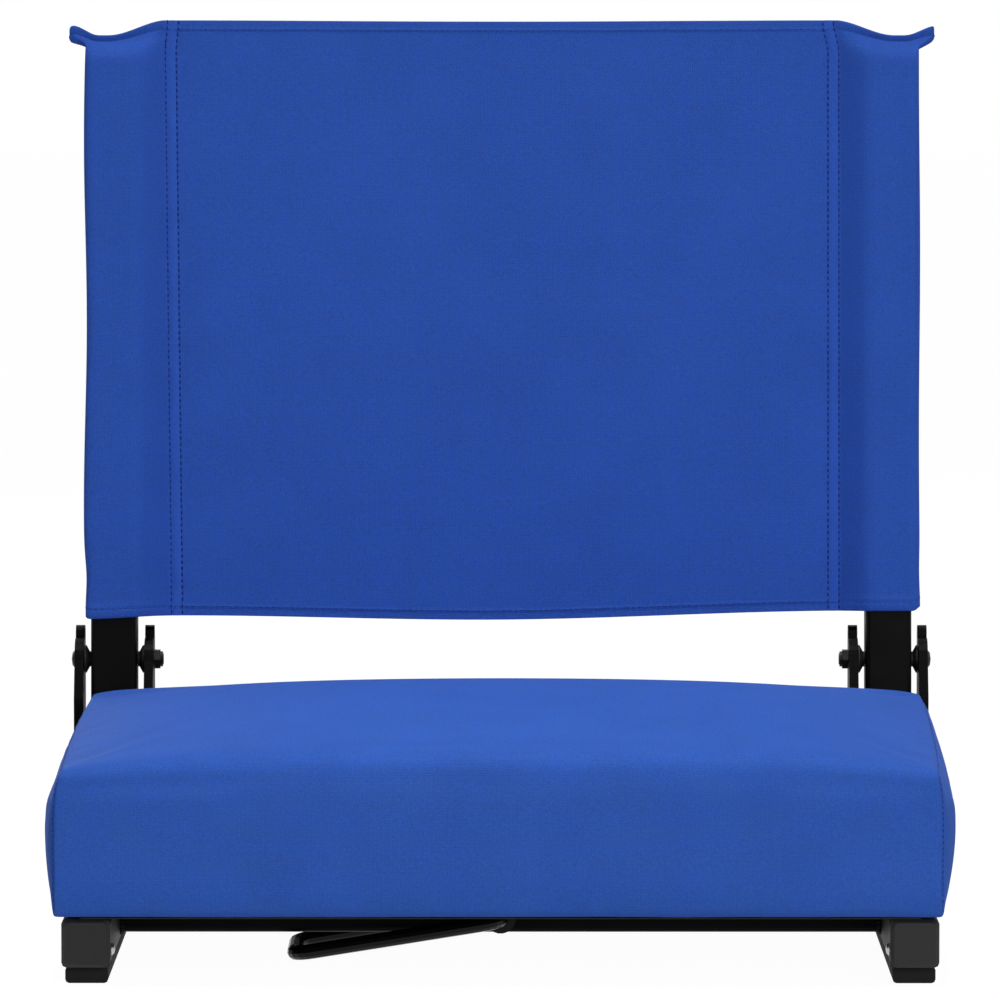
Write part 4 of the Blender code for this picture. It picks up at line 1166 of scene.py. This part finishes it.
def new_dust_cloth(sizes):
    """Non-woven cloth under the board, drawn up at its edge and sagging between the bars."""
    bm = bmesh.new()
    layer = bm.loops.layers.uv.new("flat")
    across, along = DUST_CELLS
    bars = [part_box(f"{end}_cross_bar") for end in ENDS]
    rows = []
    for row in range(along + 1):
        y = blend(DUST_LOW.y, DUST_HIGH.y, row / along)
        to_bar = min(max(low.y - y, y - high.y, 0) for low, high in bars)
        to_edge = min(y - DUST_LOW.y, DUST_HIGH.y - y)
        points = []
        for column in range(across + 1):
            x = blend(DUST_LOW.x, DUST_HIGH.x, column / across)
            to_rail = max(RAIL_INSIDE - abs(x), 0)
            free = ease(min(to_rail, to_bar, to_edge) / SAG_OVER)
            wander = SAG_WANDER * (noise.noise(Vector((x * SAG_WAVES, y * SAG_WAVES, 0.4))) - 1)
            points.append(bm.verts.new((x, y, DUST_LEVEL - sizes.sag * free * (1 + wander))))
        rows.append(points)
    flat = [[(vert.co.x, vert.co.y) for vert in row] for row in rows]
    add_grid(bm, layer, rows, flat)
    # Spunbond polypropylene, fibres pressed to a mat: dull and faintly felted
    felted = grained(
        "spunbond_polypropylene", sizes.cloth, grain=0.0016, depth=0.0002, spread=0.35,
        roughness=(0.75, 0.9),
    )
    piece = piece_from(bm, "dust_cloth_sheet", felted, "base")
    thick = piece.modifiers.new("thickness", "SOLIDIFY")
    thick.thickness = DUST_THICK
    thick.offset = 0
    return piece


def new_staples(sizes):
    """Blackened staples along the front and the rear of the dust cloth, between the rails."""
    bm = bmesh.new()
    half = STAPLE_CROWN / 2
    wide = RAIL_INSIDE - STAPLE_ASIDE
    count = int(2 * wide / sizes.staple_gap)
    for y in (DUST_LOW.y + STAPLE_INSET, DUST_HIGH.y - STAPLE_INSET):
        for step in range(count + 1):
            centre = Vector((blend(-wide, wide, step / count), y, DUST_LEVEL - DUST_THICK))
            path = [centre + Vector((-half * share, 0, rise)) for share, rise in STAPLE_FORM]
            path += [centre + Vector((half * share, 0, rise)) for share, rise in STAPLE_FORM[::-1]]
            sweep(bm, path, [Vector((0, 1, 0))] * len(path), [STAPLE_WIRE] * len(path), 8)
    # Black lacquer on flat steel wire: a dark line with a thin shine on its crown
    lacquer = grained(
        "black_lacquered_wire", sizes.staple, grain=0.0008, depth=0.00002, spread=0.15,
        roughness=(0.35, 0.45), Specular_IOR_Level=0.3,
    )
    return piece_from(bm, "dust_cloth_staples", lacquer, "base")


class SEAT_OT_underside(bpy.types.Operator):
    """Make the dust cloth under the seat and its staples"""

    bl_idname = "seat.underside"
    bl_label = "Underside"

    def execute(self, context):
        sizes = context.scene.seat_underside
        cloth = new_dust_cloth(sizes)
        staples = new_staples(sizes)
        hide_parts("dust_cloth")
        return {"FINISHED"}


# Frame

RIPPLE_STEPS = 4  # rings of points to a ripple of a bead, and the least for a short bead
BEAD_STEPS = 8
RIPPLE_DEPTH = 0.18  # share of the bead's size
BEAD_END = 0.45  # size of a bead at its ends, and from where it is full
BEAD_FULL = 0.003
BEAD_WANDER = 0.12
BEAD_WAVES = 400
BEAD_HIGH = 0.9  # height against width
BEAD_INSET = 0.0006  # middle of a bead from the faces of a bar, and from its rounded corners
BEAD_CORNER = 0.0022
BEAD_SHORT = 0.002  # ends this far below the top of a bar and before the rear of a bracket
FOOT_LIFT = 0.0003  # beads of a bracket above its foot, from its front, and from the sides of the rail
FOOT_FRONT = 0.004
FOOT_ASIDE = 0.003


def weld(bm, path, ups, sizes):
    """Weld bead: overlapping ripples along a joint."""
    total = run_of(path)[-1]
    count = max(int(total / sizes.ripple * RIPPLE_STEPS), BEAD_STEPS)
    stops = [total * step / count for step in range(count + 1)]
    points = spread_along(path, count)
    directions = []
    radii = []
    for at, point, (step, share) in zip(stops, points, places_along(path, stops)):
        directions.append(ups[step].lerp(ups[step + 1], share).normalized())
        ripple = 1 - RIPPLE_DEPTH + RIPPLE_DEPTH * abs(math.sin(math.pi * at / sizes.ripple))
        ends = min(1, BEAD_END + min(at, total - at) / BEAD_FULL)
        size = sizes.weld * ripple * ends * (1 + BEAD_WANDER * noise.noise(point * BEAD_WAVES))
        radii.append((size, size * BEAD_HIGH))
    sweep(bm, points, directions, radii, 10)


def new_welds(sizes, paint):
    """Beads where the cross bars meet the rails and where the brackets stand on them."""
    bm = bmesh.new()
    bracket_low, bracket_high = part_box("right_hinge_bracket")
    foot = bracket_low.z + FOOT_LIFT
    for sign in SIDES.values():
        face = sign * (RAIL_LOW.x - BEAD_INSET)
        for end in ENDS:
            low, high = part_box(f"{end}_cross_bar")
            front = low.y + BEAD_INSET
            rear = high.y - BEAD_INSET
            corner = low.z + BEAD_CORNER
            stops = [
                (front, high.z - BEAD_SHORT, -1, 0), (front, corner, -1, 0),
                (low.y + BEAD_CORNER, low.z + BEAD_INSET, 0, -1),
                (high.y - BEAD_CORNER, low.z + BEAD_INSET, 0, -1),
                (rear, corner, 1, 0), (rear, high.z - BEAD_SHORT, 1, 0),
            ]
            path = [Vector((face, y, z)) for y, z, out_y, out_z in stops]
            ups = [Vector((-sign, out_y, out_z)).normalized() for y, z, out_y, out_z in stops]
            weld(bm, path, ups, sizes)
        for edge, out in ((RAIL_LOW.x, -1), (RAIL_HIGH.x, 1)):
            ends = (bracket_low.y + FOOT_FRONT, bracket_high.y - BEAD_SHORT)
            path = [Vector((sign * edge, y, foot)) for y in ends]
            weld(bm, path, [Vector((sign * out, 0, -1)).normalized()] * 2, sizes)
        ends = (RAIL_LOW.x + FOOT_ASIDE, RAIL_HIGH.x - FOOT_ASIDE)
        path = [Vector((sign * x, bracket_high.y, foot)) for x in ends]
        weld(bm, path, [Vector((0, 1, 1)).normalized()] * 2, sizes)
    return piece_from(bm, "weld_beads", paint, "base")


def finish_nodes(material, *names):
    """Gives solids their finish."""
    for name in names:
        slots = frame["nodes"][name].data.materials
        slots.clear()
        slots.append(material)


class SEAT_OT_frame_finish(bpy.types.Operator):
    """Paint the tubes, brackets and hook, and add the weld beads"""

    bl_idname = "seat.frame_finish"
    bl_label = "Frame finish"

    def execute(self, context):
        sizes = context.scene.seat_frame
        # Semi-gloss powder coat on steel: a fine orange peel that breaks up its reflections
        paint = grained(
            "black_powder_coat", sizes.paint, grain=0.0014, depth=0.00004, spread=0.15,
            roughness=(0.46, 0.56), Specular_IOR_Level=0.06,
        )
        tubes = [f"{side}_{part}" for side in SIDES for part in ("rail", "post", "hinge_bracket")]
        finish_nodes(paint, *tubes, *(f"{end}_cross_bar" for end in ENDS))
        # Gloss enamel brushed on bent rod: smoother than the powder coat, with sharp highlights
        gloss = grained(
            "black_gloss_enamel", sizes.hook, grain=0.0025, depth=0.00003, spread=0.1,
            roughness=(0.2, 0.28), Specular_IOR_Level=0.14,
        )
        finish_nodes(gloss, "bench_hook")
        new_welds(sizes, paint)
        return {"FINISHED"}


class SEAT_OT_hardware_finish(bpy.types.Operator):
    """Finish the fasteners, caps, skids and the seat board"""

    bl_idname = "seat.hardware_finish"
    bl_label = "Hardware finish"

    def execute(self, context):
        colours = context.scene.seat_hardware
        corners = [f"{end}_{side}" for end in ENDS for side in SIDES]
        # Black oxide on turned steel: a dark metal with a dry, oiled shine
        oxide = grained(
            "black_oxide_steel", colours.black, grain=0.0008, depth=0.00003, spread=0.2,
            roughness=(0.38, 0.5), Metallic=0.4, Specular_IOR_Level=0.2,
        )
        hinge = [f"{side}_{part}" for side in SIDES for part in ("hinge_bolt", "lock_nut")]
        finish_nodes(oxide, *hinge, "hook_front_washer", "hook_rear_washer")
        # Bright zinc on drawn steel: a metal with a soft, slightly cloudy shine
        zinc = grained(
            "bright_zinc_plating", colours.zinc, grain=0.0012, depth=0.00003, spread=0.12,
            roughness=(0.24, 0.36), Metallic=1.0,
        )
        plated = [f"{corner}_{part}" for corner in corners for part in ("rivet", "seat_screw")]
        finish_nodes(zinc, *plated, "hook_push_nut")
        # Moulded polyethylene: a fine spark-eroded grain from the mould, with a waxy shine
        plastic = grained(
            "moulded_polyethylene", colours.plastic, grain=0.0009, depth=0.00006, spread=0.1,
            roughness=(0.5, 0.6), Specular_IOR_Level=0.2,
        )
        plugs = [f"{side}_{part}" for side in SIDES for part in ("post_top_plug", "post_foot_plug")]
        spacers = [f"{side}_{place}_spacer" for side in SIDES for place in ("outer", "inner")]
        finish_nodes(plastic, *(f"{corner}_cap" for corner in corners), *plugs, *spacers)
        # Extruded rubber: matt and a little dusty
        rubber = grained(
            "extruded_rubber", colours.rubber, grain=0.0012, depth=0.0001, spread=0.25,
            roughness=(0.7, 0.88), Specular_IOR_Level=0.15,
        )
        finish_nodes(rubber, *(f"{side}_skid" for side in SIDES))
        finish_nodes(rotary_veneer(colours.veneer), "seat_board")
        return {"FINISHED"}


# Stage

FLOOR_SIZE = 30.0
FLOOR_GAP = 0.0002  # below the skids
WHITE_SHARE = 0.9  # of the floor's look that is plain white, the rest takes the shadow
FLOOR_GLOW = 1.075  # makes up for the share that takes the shadow
CARD_SIZE = 16.0
CARD_AWAY = 5.5  # before the seat rails
CARD_HEIGHT = 5.0
CAP_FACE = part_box("front_left_cap")[0].y
# Each softbox: the setting of its power, its place, its aim, its size and the spread of its beam in degrees
SOFTBOXES = {
    "overhead_softbox": ("overhead", (0, -0.45, 2.4), (0, -0.08, 0.12), (0.7, 0.6), 40),
    "front_softbox": ("key", (1.1, -3.2, 0.9), (0, 0, 0.25), (1.4, 1.2), 180),
    "side_strip": ("rim", (1.5, 0.7, 0.7), (0.2, 0.1, 0.25), (0.3, 1.2), 180),
    "rear_softbox": ("fill", (-1.2, 2.6, 1.3), (0, 0, 0.25), (2.4, 1.6), 180),
}


def seen_directly(tree):
    """Shows where a ray comes straight from the camera, a mirror or glass."""
    path = add(tree, "ShaderNodeLightPath").outputs
    mirrors = {0: path["Is Glossy Ray"], 1: path["Is Transmission Ray"]}
    shiny = add(tree, "ShaderNodeMath", (), mirrors, operation="MAXIMUM").outputs[0]
    both = {0: path["Is Camera Ray"], 1: shiny}
    return add(tree, "ShaderNodeMath", (), both, operation="MAXIMUM").outputs[0]


def new_sheet(name, size, material):
    """A flat square sheet of the stage."""
    bm = bmesh.new()
    bmesh.ops.create_grid(bm, x_segments=2, y_segments=2, size=size / 2)
    return object_from(bm, name, material)


def new_floor(settings):
    """Pale paper floor that stays white to the eye, keeps a faint shadow and is clear from below."""
    material, tree, shader = new_material(
        "studio_paper", Base_Color=shade(settings.floor), Roughness=0.9, Specular_IOR_Level=0.1
    )
    floor = new_sheet("floor", FLOOR_SIZE, material)
    floor.location.z = -FLOOR_GAP
    share = add(tree, "ShaderNodeMath", {1: WHITE_SHARE}, {0: seen_directly(tree)}, operation="MULTIPLY")
    glow = add(tree, "ShaderNodeEmission", {"Color": (1, 1, 1, 1), "Strength": FLOOR_GLOW})
    paper = {0: share.outputs[0], 1: shader.outputs["BSDF"], 2: glow.outputs["Emission"]}
    above = add(tree, "ShaderNodeMixShader", (), paper)
    face = add(tree, "ShaderNodeNewGeometry")
    clear = add(tree, "ShaderNodeBsdfTransparent")
    sides = {0: face.outputs["Backfacing"], 1: above.outputs[0], 2: clear.outputs[0]}
    surface = add(tree, "ShaderNodeMixShader", (), sides)
    wire(tree, tree.nodes["Material Output"], {"Surface": surface.outputs[0]})


def new_world(settings):
    """White surroundings that light the object more softly than they look."""
    world = bpy.data.worlds.new("studio")
    world.use_nodes = True
    tree = world.node_tree
    limits = {"To Min": settings.sky, "To Max": 1}
    strength = add(tree, "ShaderNodeMapRange", limits, {"Value": seen_directly(tree)})
    background = tree.nodes["Background"]
    background.inputs["Color"].default_value = (1, 1, 1, 1)
    wire(tree, background, {"Strength": strength.outputs["Result"]})
    bpy.context.scene.world = world


def new_softbox(name, power, place, aim, size, spread):
    """Rectangular soft light, with the spread of its beam in degrees."""
    lamp = bpy.data.lights.new(name, "AREA")
    lamp.shape = "RECTANGLE"
    lamp.size, lamp.size_y = size
    lamp.energy = power
    lamp.spread = math.radians(spread)
    light = bpy.data.objects.new(name, lamp)
    light.location = place
    light.rotation_euler = (Vector(aim) - Vector(place)).to_track_quat("-Z", "Y").to_euler()
    bpy.context.scene.collection.objects.link(light)


def new_flag():
    """Black felt card behind the camera, which keeps front reflections dark."""
    black = shade(linear("#0a0a0a"))
    felt = new_material("black_felt", Base_Color=black, Roughness=1, Specular_IOR_Level=0)[0]
    card = new_sheet("black_card", CARD_SIZE, felt)
    card.location = (0, CAP_FACE - CARD_AWAY, CARD_HEIGHT)
    card.rotation_euler = (math.pi / 2, 0, 0)
    card.visible_camera = False
    card.visible_diffuse = False
    card.visible_shadow = False


class SEAT_OT_stage(bpy.types.Operator):
    """Set the floor, the lights and the camera"""

    bl_idname = "seat.stage"
    bl_label = "Stage"

    def execute(self, context):
        settings = context.scene.seat_stage
        scene = context.scene
        new_floor(settings)
        new_world(settings)
        new_flag()
        for name, (power, *form) in SOFTBOXES.items():
            new_softbox(name, getattr(settings, power), *form)
        lens = bpy.data.cameras.new("camera")
        lens.lens = settings.lens
        camera = bpy.data.objects.new("camera", lens)
        camera.location = (settings.aside, CAP_FACE - settings.distance, settings.height)
        camera.rotation_euler = (math.pi / 2 - settings.pitch, 0, settings.yaw)
        scene.collection.objects.link(camera)
        scene.camera = camera
        scene.view_settings.view_transform = "Standard"
        return {"FINISHED"}


class SEAT_PT_sidebar(bpy.types.Panel):
    """Lists the pieces and their sizes"""

    bl_label = "Folding bleacher seat"
    bl_space_type = "VIEW_3D"
    bl_region_type = "UI"
    bl_category = "Seat"

    def draw(self, context):
        for name, (group, operator) in STEPS.items():
            box = self.layout.box()
            box.operator(operator.bl_idname)
            for setting in group.__annotations__:
                box.prop(getattr(context.scene, name), setting)


STEPS = {
    "seat_canvas_back": (CanvasBackSettings, SEAT_OT_canvas_back),
    "seat_cushion": (SeatCushionSettings, SEAT_OT_seat_cushion),
    "seat_underside": (UndersideSettings, SEAT_OT_underside),
    "seat_frame": (FrameSettings, SEAT_OT_frame_finish),
    "seat_hardware": (HardwareSettings, SEAT_OT_hardware_finish),
    "seat_stage": (StageSettings, SEAT_OT_stage),
}
CLASSES = (*(item for pair in STEPS.values() for item in pair), SEAT_PT_sidebar)


def register():
    for item in CLASSES:
        bpy.utils.register_class(item)
    for name, (group, operator) in STEPS.items():
        setattr(bpy.types.Scene, name, PointerProperty(type=group))


def unregister():
    for name in STEPS:
        delattr(bpy.types.Scene, name)
    for item in reversed(CLASSES):
        bpy.utils.unregister_class(item)


def main():
    register()
    bpy.ops.seat.canvas_back()
    bpy.ops.seat.seat_cushion()
    bpy.ops.seat.underside()
    bpy.ops.seat.frame_finish()
    bpy.ops.seat.hardware_finish()
    bpy.ops.seat.stage()


if __name__ == "__main__":
    main()
